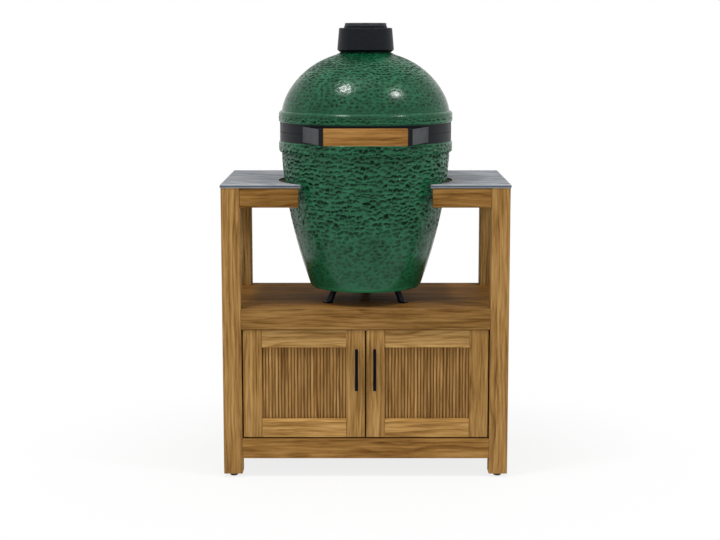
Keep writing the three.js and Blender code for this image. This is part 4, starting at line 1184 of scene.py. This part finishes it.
class GRILLTABLE_OT_stage(PieceOperator, bpy.types.Operator):
    """Set up the floor, the lamps, the sky and the camera."""

    bl_idname = "grilltable.stage"
    bl_label = "Studio"

    def execute(self, context):
        studio = context.scene.studio
        self.floor()
        self.sky(context, studio)
        for name, place, size, power in LAMPS:
            self.lamp(name, place, size, getattr(studio, power))
        self.camera(context, studio)
        context.scene.view_settings.view_transform = "Standard"
        return {"FINISHED"}

    def floor(self):
        form = bmesh.new()
        bmesh.ops.create_grid(form, x_segments=1, y_segments=1, size=FLOOR_SIZE)
        mesh = mesh_of("Studio floor", form)
        mesh.materials.append(look("floor"))
        linked("Studio_floor", mesh)

    def sky(self, context, studio):
        """A soft light, brightest high in front, and a white backdrop to see and reflect."""
        world = bpy.data.worlds.new("Studio sky")
        context.scene.world = world
        recipe = Recipe(world)
        lighting = recipe.tree.nodes["Background"]
        lighting.inputs["Color"].default_value = WHITE
        direction = recipe.add("ShaderNodeTexCoord").outputs["Generated"]
        facing = recipe.vector("DOT_PRODUCT", direction, KEY_DIRECTION.normalized())
        level = recipe.spread(facing, -1.0, 1.0, studio.far_strength, studio.key_strength)
        recipe.feed(lighting.inputs["Strength"], level)
        white = recipe.add("ShaderNodeBackground", {"Color": WHITE, "Strength": 1.0})
        recipe.finish("World Output", seen_rays(recipe), lighting, white)

    def lamp(self, name, place, size, power):
        data = bpy.data.lights.new(name, "AREA")
        data.shape = "ELLIPSE"
        data.size, data.size_y = size
        data.energy = power
        lamp = linked(name, data)
        lamp.location = place
        lamp.rotation_euler = (LAMP_TARGET - Vector(place)).to_track_quat("-Z", "Y").to_euler()

    def camera(self, context, studio):
        data = bpy.data.cameras.new("Camera")
        data.sensor_width = 36.0
        data.lens = studio.focal_length
        data.shift_x = 0.5 - CENTRE_COLUMN / PHOTO_WIDTH
        camera = linked("Camera", data)
        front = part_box("worktop")[0].y
        camera.location = (0.0, front - studio.camera_distance, studio.camera_height)
        camera.rotation_euler = Euler((QUARTER_TURN - studio.camera_pitch, 0.0, 0.0))
        context.scene.camera = camera


class GRILLTABLE_OT_legs(PieceOperator, bpy.types.Operator):
    """Make the four legs with their grain upright, and the turned glides under them."""

    bl_idname = "grilltable.legs"
    bl_label = "Legs and glides"

    def execute(self, context):
        for row in ("front", "rear"):
            for side in ("left", "right"):
                board(f"leg_{row}_{side}", "z", edge=0.0010)
                self.glide(f"glide_{row}_{side}")
        return {"FINISHED"}

    def glide(self, node):
        low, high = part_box(node)
        centre = (low + high) / 2
        radius = (high.x - low.x) / 2
        height = high.z - low.z
        corner = 0.003
        foot = arc((radius - corner, corner), corner, -90, 0, 5)
        shares = ((0.86, 0.55), (0.86, 0.75), (1.0, 0.85), (1.0, 1.0), (0.0, 1.0))
        profile = [(0.0, 0.0)] + foot + [(radius * x, height * z) for x, z in shares]
        form = spun(profile, 48, closed=False)
        bmesh.ops.translate(form, vec=(centre.x, centre.y, low.z), verts=form.verts)
        place_piece(f"turned_{node}", form, node, "plastic")


class GRILLTABLE_OT_rails(PieceOperator, bpy.types.Operator):
    """Make the rails of the table."""

    bl_idname = "grilltable.rails"
    bl_label = "Rails"

    def execute(self, context):
        for node in ("top_rail_rear", "shelf_rail_front", "base_rail_front"):
            board(node, "x")
        for side in ("left", "right"):
            board(f"top_rail_front_{side}", "x")
            board(f"top_rail_{side}", "y")
        return {"FINISHED"}


class GRILLTABLE_OT_carcase(PieceOperator, bpy.types.Operator):
    """Make the shelf, the cabinet's floor, sides and back, and the door catch."""

    bl_idname = "grilltable.carcase"
    bl_label = "Shelf and cabinet"

    def execute(self, context):
        staved_board("shelf", "x", across=1, count=7, contrast=0.22)
        staved_board("cabinet_floor", "x", across=1, count=6, contrast=0.14)
        staved_board("cabinet_back", "x", across=2, count=5, contrast=0.14)
        for side in ("left", "right"):
            staved_board(f"cabinet_side_{side}", "y", across=2, count=5, contrast=0.14)
        self.catch()
        return {"FINISHED"}

    def catch(self):
        """A plastic housing with two steel pole strips and its magnet between them."""
        low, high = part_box("door_catch")
        housing = box_form(low, high)
        ease_edges(housing, 0.0015)
        half_strip = Vector(((high.x - low.x) / 2 - 0.006, 0.0021, 0.0015))
        strips = []
        for share in (0.25, 0.75):
            height = low.z + share * (high.z - low.z)
            middle = Vector(((low.x + high.x) / 2, low.y + 0.0019, height))
            strips.append(box_form(middle - half_strip, middle + half_strip))
        whole = merged(housing, *strips)
        for face in whole.faces:
            faces_front = face.calc_center_median().y < low.y + 0.0001 and abs(face.normal.y) > 0.5
            face.material_index = int(faces_front and face.calc_area() < 0.0003)
        place_piece("magnetic_catch", whole, "door_catch", "plastic", "steel")


class GRILLTABLE_OT_doors(PieceOperator, bpy.types.Operator):
    """Make the two doors: frames, reeded panels and bar handles."""

    bl_idname = "grilltable.doors"
    bl_label = "Doors"

    def execute(self, context):
        for side in ("left", "right"):
            for stile in ("hinge", "meeting"):
                board(f"{side}_door_{stile}_stile", "z", edge=0.0005, least_length=0.02)
            self.rail(side, "top")
            self.rail(side, "bottom")
            self.panel(context, side)
            node = f"{side}_door_handle"
            place_eased(f"bar_{node}", node, "bar_black", radius=0.0009)
        return {"FINISHED"}

    def rail(self, side, end):
        """A rail with a flat moulding along the panel."""
        node = f"{side}_door_{end}_rail"
        low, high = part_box(node)
        form = cad_copy(node)
        ease_edges(form, 0.0005, least_length=0.02)
        bottom = low.z if end == "top" else high.z - MOULDING_WIDTH
        front, back = low.y - MOULDING_RISE, low.y + MOULDING_DEPTH
        moulding = box_form((low.x, front, bottom), (high.x, back, bottom + MOULDING_WIDTH))
        ease_edges(moulding, 0.0004)
        # Each moulding is painted 1.16 times lighter than its rail, a painted highlight for light
        # caught on its edge
        for part, seed, level in ((form, node, 1.0), (moulding, node + " moulding", 1.16)):
            grain_layers(part)
            mark_grain(part, part.verts, "x", seed, [channel * level for channel in TINTS[node]])
        place_piece(f"teak_{node}", merged(form, moulding), node, "teak")

    def panel(self, context, side):
        """A back plate with half-round reeds on its front, with painted shade darkening the plate
        and the reeds' sides in the grooves.
        """
        timber = context.scene.timber
        node = f"{side}_door_panel"
        low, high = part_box(node)
        rail_low, rail_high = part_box(f"{side}_door_bottom_rail")
        opening_bottom = rail_high.z
        opening_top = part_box(f"{side}_door_top_rail")[0].z
        plate_front = high.y - PANEL_PLATE
        plate = box_form((low.x, plate_front, low.z), high)
        bmesh.ops.subdivide_edges(plate, edges=plate.edges, cuts=1)
        grain_layers(plate)
        # The plate's dark tone is painted shade in the grooves between the reeds
        mark_grain(plate, plate.verts, "z", node, (0.42, 0.38, 0.32))
        parts = [plate]
        draw = random.Random(side)
        pitch = (rail_high.x - rail_low.x) / timber.reed_count
        length = opening_top - opening_bottom - 2 * REED_END_GAP
        reach = plate_front - low.y
        for i in range(timber.reed_count):
            centre = rail_low.x + (i + 0.5) * pitch
            reed = bmesh.new()
            middle = Vector((centre, plate_front, (opening_bottom + opening_top) / 2))
            bmesh.ops.create_circle(reed, cap_ends=True, segments=20, radius=0.5)
            size = (pitch - timber.reed_gap, 2 * reach, 1)
            bmesh.ops.scale(reed, vec=size, verts=reed.verts)
            bmesh.ops.translate(reed, vec=(0, 0, -length / 2), verts=reed.verts)
            extrude_up(reed, length)
            bmesh.ops.translate(reed, vec=middle, verts=reed.verts)
            grain_layers(reed)
            level = 0.94 + 0.07 * math.sin(i * 0.9) + draw.uniform(-0.08, 0.08)
            tone = (level, level * 0.98, level * 0.95)
            mark_grain(reed, reed.verts, "z", f"{side} reed {i}", tone)
            # Painted shade darkens each reed towards its sides, down in the grooves
            tint = reed.verts.layers.float_vector["tone"]
            for vert in reed.verts:
                aside = abs(vert.co.x - centre)
                vert[tint] *= 1.0 - 0.6 * soft_step(aside, 0.30 * pitch, 0.47 * pitch)
            parts.append(reed)
        place_piece(f"teak_{node}", merged(*parts), node, "teak")


class GRILLTABLE_OT_worktop(PieceOperator, bpy.types.Operator):
    """Make the stone worktop with its round cut-out."""

    bl_idname = "grilltable.worktop"
    bl_label = "Worktop"

    def execute(self, context):
        form = cad_copy("worktop")
        ease_edges(form, 0.0020)
        form.normal_update()
        # Flat tops get the stone, the rounded edges its lighter copy as a painted highlight, and
        # the vertical sides its darker, bluer copy
        flat, rounded = 0.97, 0.3
        for face in form.faces:
            slope = abs(face.normal.z)
            face.material_index = 0 if slope > flat else 1 if slope > rounded else 2
        looks = ("stone", "worn_stone", "sawn_stone")
        place_piece("stone_worktop", form, "worktop", *looks)
        return {"FINISHED"}


class GRILLTABLE_OT_base(PieceOperator, bpy.types.Operator):
    """Make the dimpled ceramic base, with its air inlet at the back."""

    bl_idname = "grilltable.ceramic_base"
    bl_label = "Ceramic base"

    def execute(self, context):
        glaze = context.scene.glaze
        outside, inside = base_profile()
        form = glazed_shell(outside, inside, glaze.base_steps, closed=False)
        dimples = Dimples(outside, glaze.base_dimple_width, glaze.base_dimple_height, "base")
        press_dimples(form, dimples, glaze.base_dimple_depth, 0.5, self)
        self.cut_inlet(form)
        place_shell("ceramic_base", form, "base_shell")
        return {"FINISHED"}

    def bowls(self, height):
        """Small pits low down and wide hammered bowls higher up."""
        return soft_step(height, 0.10, 0.26)

    def resting_glaze_and_shade(self, height):
        """Thin glaze between the dimples at every height."""
        return 0.18

    def share(self, place):
        """Full dimples at the middle and the shoulder, softer ones near the foot and the ridge."""
        height = place.z
        foot = soft_step(height, FOOT_CORNER[1], 0.05)
        rise = 0.20 + 0.80 * soft_step(height, 0.07, 0.20)
        ridge = 1.0 - 0.25 * soft_step(height, FLANGE_BOTTOM - 0.004, FLANGE_BOTTOM + 0.004)
        top = 1.0 - soft_step(height, BAND_SEAT_BOTTOM - 0.005, BAND_SEAT_BOTTOM - 0.001)
        drift = 0.85 + 0.3 * noise.noise(place * 14.0)
        return foot * rise * ridge * top * drift

    def cut_inlet(self, form):
        """Opens the air inlet through both faces of the wall and closes its four sides."""
        planes = [
            ((0, 0, INLET_BOTTOM), (0, 0, 1)),
            ((0, 0, INLET_TOP), (0, 0, 1)),
            ((INLET_HALF_WIDTH, 0, 0), (1, 0, 0)),
            ((-INLET_HALF_WIDTH, 0, 0), (1, 0, 0)),
        ]
        margin = 0.01
        for place, normal in planes:
            near = [face for face in form.faces if self.in_window(face, margin)]
            edges = dict.fromkeys(edge for face in near for edge in face.edges)
            verts = dict.fromkeys(vert for face in near for vert in face.verts)
            part = list(verts) + list(edges) + near
            bmesh.ops.bisect_plane(form, geom=part, plane_co=place, plane_no=normal, dist=MERGE)
        doomed = [face for face in form.faces if self.in_window(face, 0.0)]
        bmesh.ops.delete(form, geom=doomed, context="FACES")
        rims = [edge for edge in form.edges if edge.is_boundary]
        bmesh.ops.bridge_loops(form, edges=rims)
        loose = [vert for vert in form.verts if not vert.link_faces]
        bmesh.ops.delete(form, geom=loose, context="VERTS")

    def in_window(self, face, margin):
        place = face.calc_center_median()
        return (
            place.y > BACK_WALL_START
            and abs(place.x) < INLET_HALF_WIDTH + margin
            and INLET_BOTTOM - margin < place.z < INLET_TOP + margin
        )


class GRILLTABLE_OT_lid(PieceOperator, bpy.types.Operator):
    """Make the dimpled ceramic lid."""

    bl_idname = "grilltable.ceramic_lid"
    bl_label = "Ceramic lid"

    def execute(self, context):
        glaze = context.scene.glaze
        outside, inside = lid_profile()
        form = glazed_shell(outside, inside, glaze.lid_steps, closed=True)
        dimples = Dimples(outside, glaze.lid_dimple_width, glaze.lid_dimple_height, "lid")
        press_dimples(form, dimples, glaze.lid_dimple_depth, 0.3, self)
        place_shell("ceramic_lid", form, "lid_shell")
        return {"FINISHED"}

    def bowls(self, height):
        """Small pits that turn to hammered bowls near the neck and under the ridge."""
        neck = 0.9 * soft_step(height, 0.59, 0.68)
        return max(neck, 1.0 - soft_step(height, RIDGE_TOP - 0.010, RIDGE_TOP))

    def resting_glaze_and_shade(self, height):
        """Darker glaze towards the neck, as painted shade under the chimney collar."""
        upper = soft_step(height, 0.62, 0.69)
        neck = soft_step(height, 0.692, 0.712)
        return 0.27 + 0.05 * upper + 0.18 * neck

    def share(self, place):
        """Small pits over the whole dome, deeper towards the neck and faint on the ridge."""
        height = place.z
        seat = soft_step(height, BAND_SEAT_TOP + 0.001, BAND_SEAT_TOP + 0.006)
        dome_foot = RIDGE_TOP + RIDGE_ROUND
        ridge = 0.12 + 0.88 * soft_step(height, dome_foot, dome_foot + 0.03)
        ridge = max(ridge, self.bowls(min(height, RIDGE_TOP)))
        neck = 1.0 + 0.5 * soft_step(height, 0.64, 0.70)
        drift = 0.8 + 0.5 * noise.noise(place * 11.0)
        return seat * ridge * neck * drift


class GRILLTABLE_OT_bands(PieceOperator, bpy.types.Operator):
    """Make the two steel bands and the felt gasket."""

    bl_idname = "grilltable.bands"
    bl_label = "Bands and gasket"

    def execute(self, context):
        for node in ("band_lower", "band_upper"):
            form = self.ring(node, thickness=0.002, corner=0.0006, steps=192)
            place_piece(f"steel_{node}", form, node, "satin_black")
        form = self.ring("rim_gasket", thickness=0.021, corner=0.0009, steps=160)
        place_piece("felt_gasket", form, "rim_gasket", "felt")
        return {"FINISHED"}

    def ring(self, node, thickness, corner, steps):
        """A flat ring as wide and high as the node, with round corners."""
        low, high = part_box(node)
        section = rounded_section((high.x - thickness, low.z), (high.x, high.z), corner)
        return spun(section, steps)


class GRILLTABLE_OT_hinge(PieceOperator, bpy.types.Operator):
    """Make the rear hinge: brackets, bolts, pin and torsion spring."""

    bl_idname = "grilltable.hinge"
    bl_label = "Rear hinge"

    def execute(self, context):
        for node in ("hinge_lower_bracket", "hinge_upper_bracket"):
            self.bracket(context, node)
        self.pin()
        self.spring()
        return {"FINISHED"}

    def bracket(self, context, node):
        """A bent plate held to its band by two bolts."""
        low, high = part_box(node)
        form = cad_copy(node)
        ease_edges(form, context.scene.metal.coat_edge, segments=2, least_length=0.006)
        edge_distance = 0.012
        bolt_height = high.z - edge_distance if "upper" in node else low.z + edge_distance
        lift = Vector((0, 0, bolt_height))
        plate_radius = math.hypot(low.x, low.y)
        bolts = []
        for degrees in (76.0, 104.0):
            angle = math.radians(degrees)
            outward = Vector((math.cos(angle), math.sin(angle), 0))
            centre = outward * plate_radius + lift
            bolts.append(bolt(centre, outward, head_radius=0.0065, head_height=0.0035))
        whole = merged(form, *bolts)
        place_piece(f"plate_{node}", whole, node, "satin_black")

    def pin(self):
        """A round pin with a flat head at each end."""
        low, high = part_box("hinge_pin")
        half = (high.x - low.x) / 2
        head = (high.z - low.z) / 2
        thickness = 0.003
        neck = head - thickness
        shoulder = half - thickness
        corner = 0.001
        profile = (
            [(0.0, -half)]
            + arc((head - corner, -half + corner), corner, -90, 0, 3)
            + [(head, -shoulder), (neck, -shoulder), (neck, shoulder), (head, shoulder)]
            + arc((head - corner, half - corner), corner, 0, 90, 3)
            + [(0.0, half)]
        )
        form = spun(profile, 32, closed=False)
        turn = Matrix.Rotation(QUARTER_TURN, 4, "Y")
        centre = (low + high) / 2
        bmesh.ops.transform(form, matrix=Matrix.Translation(centre) @ turn, verts=form.verts)
        place_piece("steel_hinge_pin", form, "hinge_pin", "steel")

    def spring(self):
        """A torsion spring wound round the pin, with its two ends in line."""
        low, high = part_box("hinge_spring")
        centre = (low + high) / 2
        wire = 0.003
        mean = (high.z - low.z - wire) / 2
        half = (high.x - low.x) / 2
        curls = 14
        steps = 20
        curve = bpy.data.curves.new("spring", "CURVE")
        curve.dimensions = "3D"
        curve.bevel_depth = wire / 2
        curve.bevel_resolution = 2
        curve.use_fill_caps = True
        line = curve.splines.new("POLY")
        count = curls * steps
        line.points.add(count + 2)
        wound = half - wire
        places = [Vector((-half, mean, 0))]
        for i in range(count + 1):
            angle = FULL_TURN * i / steps
            x = -wound + 2 * wound * i / count
            places.append(Vector((x, mean * math.cos(angle), mean * math.sin(angle))))
        places.append(Vector((half, mean, 0)))
        for point, place in zip(line.points, places):
            point.co = (*(place + centre), 1.0)
        holder = linked("spring", curve)
        form = evaluated_form(holder)
        bpy.data.objects.remove(holder)
        bpy.data.curves.remove(curve)
        bmesh.ops.remove_doubles(form, verts=form.verts, dist=MERGE)
        bmesh.ops.recalc_face_normals(form, faces=form.faces)
        place_piece("torsion_spring", form, "hinge_spring", "steel")


class GRILLTABLE_OT_handle(PieceOperator, bpy.types.Operator):
    """Make the lid handle: a teak grip between two steel brackets."""

    bl_idname = "grilltable.lid_handle"
    bl_label = "Lid handle"

    def execute(self, context):
        low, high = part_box("handle_grip")
        grip = box_form(low, high)
        ease_edges(grip, 0.0030, segments=4)
        grain_layers(grip)
        long_edges = [edge for edge in grip.edges if edge.calc_length() > 0.2]
        bmesh.ops.subdivide_edges(grip, edges=long_edges, cuts=4)
        mark_grain(grip, grip.verts, "x", "grip", (0.87, 0.77, 0.63))
        place_piece("teak_grip", grip, "handle_grip", "teak")
        for side in ("left", "right"):
            self.bracket(context, f"handle_bracket_{side}", high.x + 0.013)
        return {"FINISHED"}

    def bracket(self, context, node, block_end):
        """A grey arm whose end block, nearer the middle than block_end, is black."""
        form = cad_copy(node)
        ease_edges(form, context.scene.metal.coat_edge, segments=2, least_length=0.003)
        for face in form.faces:
            face.material_index = int(abs(face.calc_center_median().x) < block_end)
        place_piece(f"plate_{node}", form, node, "bracket_grey", "satin_black")


class GRILLTABLE_OT_vent(PieceOperator, bpy.types.Operator):
    """Make the chimney collar, the swinging vent cap and the vent wheel."""

    bl_idname = "grilltable.vent"
    bl_label = "Chimney and vent"

    def execute(self, context):
        self.collar()
        edges = {"radius": 0.0005, "segments": 2, "least_length": 0.006}
        place_eased("iron_vent_cap", "vent_cap", "cast_iron", **edges)
        self.wheel()
        return {"FINISHED"}

    def collar(self):
        """A conical collar whose sleeve stands in the lid's hole, with the cap's pin on it."""
        low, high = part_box("chimney_collar")
        wide = high.x
        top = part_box("vent_cap")[0].z - CLEARANCE
        bottom = low.z
        top_radius = 0.0815
        foot_radius = 0.078
        bore = 0.062
        sleeve = CHIMNEY_HOLE - CLEARANCE
        shoulder = NECK_HEIGHT + CLEARANCE
        bevel_height = 0.008
        pin_place = 0.0725
        pin_radius = 0.003
        profile = (
            [(sleeve, bottom), (sleeve, shoulder), (foot_radius, shoulder)]
            + arc((wide - 0.002, shoulder + bevel_height + 0.0005), 0.002, -40, 5, 4)
            + arc((top_radius - 0.003, top - 0.003), 0.003, 5, 90, 5)
            + arc((bore + 0.001, top - 0.001), 0.001, 90, 180, 2)
            + [(bore, bottom)]
        )
        form = spun(profile, 128)
        sunk = 0.004
        pin_low = Vector((0.0, pin_place, top - sunk))
        pin = rod(pin_low, pin_low + Vector((0, 0, high.z - top + sunk)), pin_radius)
        place_piece("iron_collar", merged(form, pin), "chimney_collar", "cast_iron")

    def ports(self, low, high, turn):
        """Six cutters, each a sector of a ring."""
        inner_radius, outer_radius, half_angle = 0.018, 0.044, 11
        cutters = []
        for i in range(6):
            middle = turn + i * 60.0
            start, end = middle - half_angle, middle + half_angle
            outer = arc((0, 0), outer_radius, start, end, 6)
            inner = arc((0, 0), inner_radius, end, start, 3)
            form = bmesh.new()
            form.faces.new([form.verts.new((x, y, low)) for x, y in outer + inner])
            extrude_up(form, high - low)
            cutters.append(form)
        return cutters

    def wheel(self):
        """A dished wheel with finger scallops round its edge and six ports through its plate."""
        low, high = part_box("vent_wheel")
        radius = high.x
        plate = 0.005
        edge = 0.004
        corner = 0.001
        bottom, top = low.z, high.z
        bore = 0.0053
        hub = 0.012
        rim = radius - 0.012
        foot = 0.0008
        profile = (
            [(bore, bottom)]
            + arc((radius - foot, bottom + foot), foot, -90, 0, 3)
            + arc((radius - edge, top - edge), edge, 0, 90, 8)
            + arc((rim + corner, top - corner), corner, 90, 130, 2)
            + [(rim - edge, bottom + plate), (hub, bottom + plate)]
            + arc((hub - corner, top - edge - corner), corner, 0, 90, 3)
            + [(bore, top - edge)]
        )
        form = spun(profile, 128)
        scallops = []
        count = 8
        shift = Matrix.Translation((radius + 0.0024, 0, (bottom + top) / 2))
        size = Matrix.Diagonal((0.0048, 0.017, 0.0032, 1))
        for i in range(count):
            turn = Matrix.Rotation(-QUARTER_TURN + i * FULL_TURN / count, 4, "Z")
            scallop = bmesh.new()
            bmesh.ops.create_uvsphere(
                scallop, u_segments=24, v_segments=14, radius=1.0, matrix=turn @ shift @ size
            )
            scallops.append(scallop)
        past = 0.004
        form = carved(form, *scallops, *self.ports(bottom - past, top + past, 30.0))
        place_piece("iron_vent_wheel", form, "vent_wheel", "turned_iron")


class GRILLTABLE_OT_nest(PieceOperator, bpy.types.Operator):
    """Make the three-legged steel nest under the grill."""

    bl_idname = "grilltable.nest"
    bl_label = "Nest"

    def execute(self, context):
        edges = {"radius": context.scene.metal.coat_edge, "segments": 2, "least_length": 0.003}
        place_eased("steel_nest", "nest", "bar_black", **edges)
        return {"FINISHED"}


class GRILLTABLE_OT_draft(PieceOperator, bpy.types.Operator):
    """Make the air inlet's track and its sliding door."""

    bl_idname = "grilltable.draft"
    bl_label = "Draft door"

    def execute(self, context):
        edges = {"radius": 0.0004, "segments": 2, "least_length": 0.006}
        edges["least_angle"] = math.radians(60)
        for node in ("draft_track", "draft_door"):
            place_eased(f"steel_{node}", node, "steel", **edges)
        return {"FINISHED"}


class GRILLTABLE_OT_fire(PieceOperator, bpy.types.Operator):
    """Make the fire box, fire ring, grate and cooking grid."""

    bl_idname = "grilltable.fire_parts"
    bl_label = "Fire box and grid"

    def execute(self, context):
        edges = {"radius": 0.0015, "segments": 2, "least_length": 0.01}
        for node in ("fire_box", "fire_ring"):
            place_eased(f"clay_{node}", node, "clay", **edges)
        edges = {"radius": 0.0006, "segments": 2, "least_length": 0.006}
        place_eased("iron_grate", "fire_grate", "cast_iron", **edges)
        self.grid()
        return {"FINISHED"}

    def grid(self):
        """Round rods welded on top of a round rim."""
        low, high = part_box("cooking_grid")
        rod_radius = 0.003
        rim_radius = high.x - rod_radius
        rim_height = low.z + rod_radius
        rim = spun(arc((rim_radius, rim_height), rod_radius, 0, 345, 15), 128)
        pitch = 0.021
        weld = 0.001
        half = int((rim_radius - 4 * rod_radius) / pitch)
        rods = []
        for i in range(-half, half + 1):
            x = i * pitch
            reach = math.sqrt(rim_radius**2 - x**2) + weld
            z = high.z - rod_radius
            rods.append(rod((x, -reach, z), (x, reach, z), rod_radius, 12))
        place_piece("steel_grid", merged(rim, *rods), "cooking_grid", "steel")


class GRILLTABLE_OT_pins(PieceOperator, bpy.types.Operator):
    """Give the door pins their black coat."""

    bl_idname = "grilltable.door_pins"
    bl_label = "Door pins"

    def execute(self, context):
        for side in ("left", "right"):
            for end in ("lower", "upper"):
                pin = frame["nodes"][f"{side}_door_pin_{end}"]
                pin.data.materials.clear()
                pin.data.materials.append(look("satin_black"))
        return {"FINISHED"}


class GRILLTABLE_PT_panel(bpy.types.Panel):
    """The buttons of the grill table."""

    bl_idname = "GRILLTABLE_PT_panel"
    bl_label = "Grill table"
    bl_space_type = "VIEW_3D"
    bl_region_type = "UI"
    bl_category = "Grill table"

    def draw(self, context):
        for operator in OPERATORS:
            self.layout.operator(operator.bl_idname)


SETTINGS = {
    "studio": StudioSettings,
    "timber": TimberSettings,
    "glaze": GlazeSettings,
    "metal": MetalSettings,
}
OPERATORS = (
    GRILLTABLE_OT_stage,
    GRILLTABLE_OT_legs,
    GRILLTABLE_OT_rails,
    GRILLTABLE_OT_carcase,
    GRILLTABLE_OT_doors,
    GRILLTABLE_OT_pins,
    GRILLTABLE_OT_worktop,
    GRILLTABLE_OT_nest,
    GRILLTABLE_OT_base,
    GRILLTABLE_OT_lid,
    GRILLTABLE_OT_bands,
    GRILLTABLE_OT_hinge,
    GRILLTABLE_OT_handle,
    GRILLTABLE_OT_vent,
    GRILLTABLE_OT_draft,
    GRILLTABLE_OT_fire,
)


def register():
    for group in SETTINGS.values():
        bpy.utils.register_class(group)
    for name, group in SETTINGS.items():
        setattr(bpy.types.Scene, name, PointerProperty(type=group))
    for operator in OPERATORS:
        bpy.utils.register_class(operator)
    bpy.utils.register_class(GRILLTABLE_PT_panel)


def unregister():
    bpy.utils.unregister_class(GRILLTABLE_PT_panel)
    for operator in reversed(OPERATORS):
        bpy.utils.unregister_class(operator)
    for name, group in SETTINGS.items():
        delattr(bpy.types.Scene, name)
        bpy.utils.unregister_class(group)


def main():
    register()
    for operator in OPERATORS:
        group, name = operator.bl_idname.split(".")
        getattr(getattr(bpy.ops, group), name)()


if __name__ == "__main__":
    main()
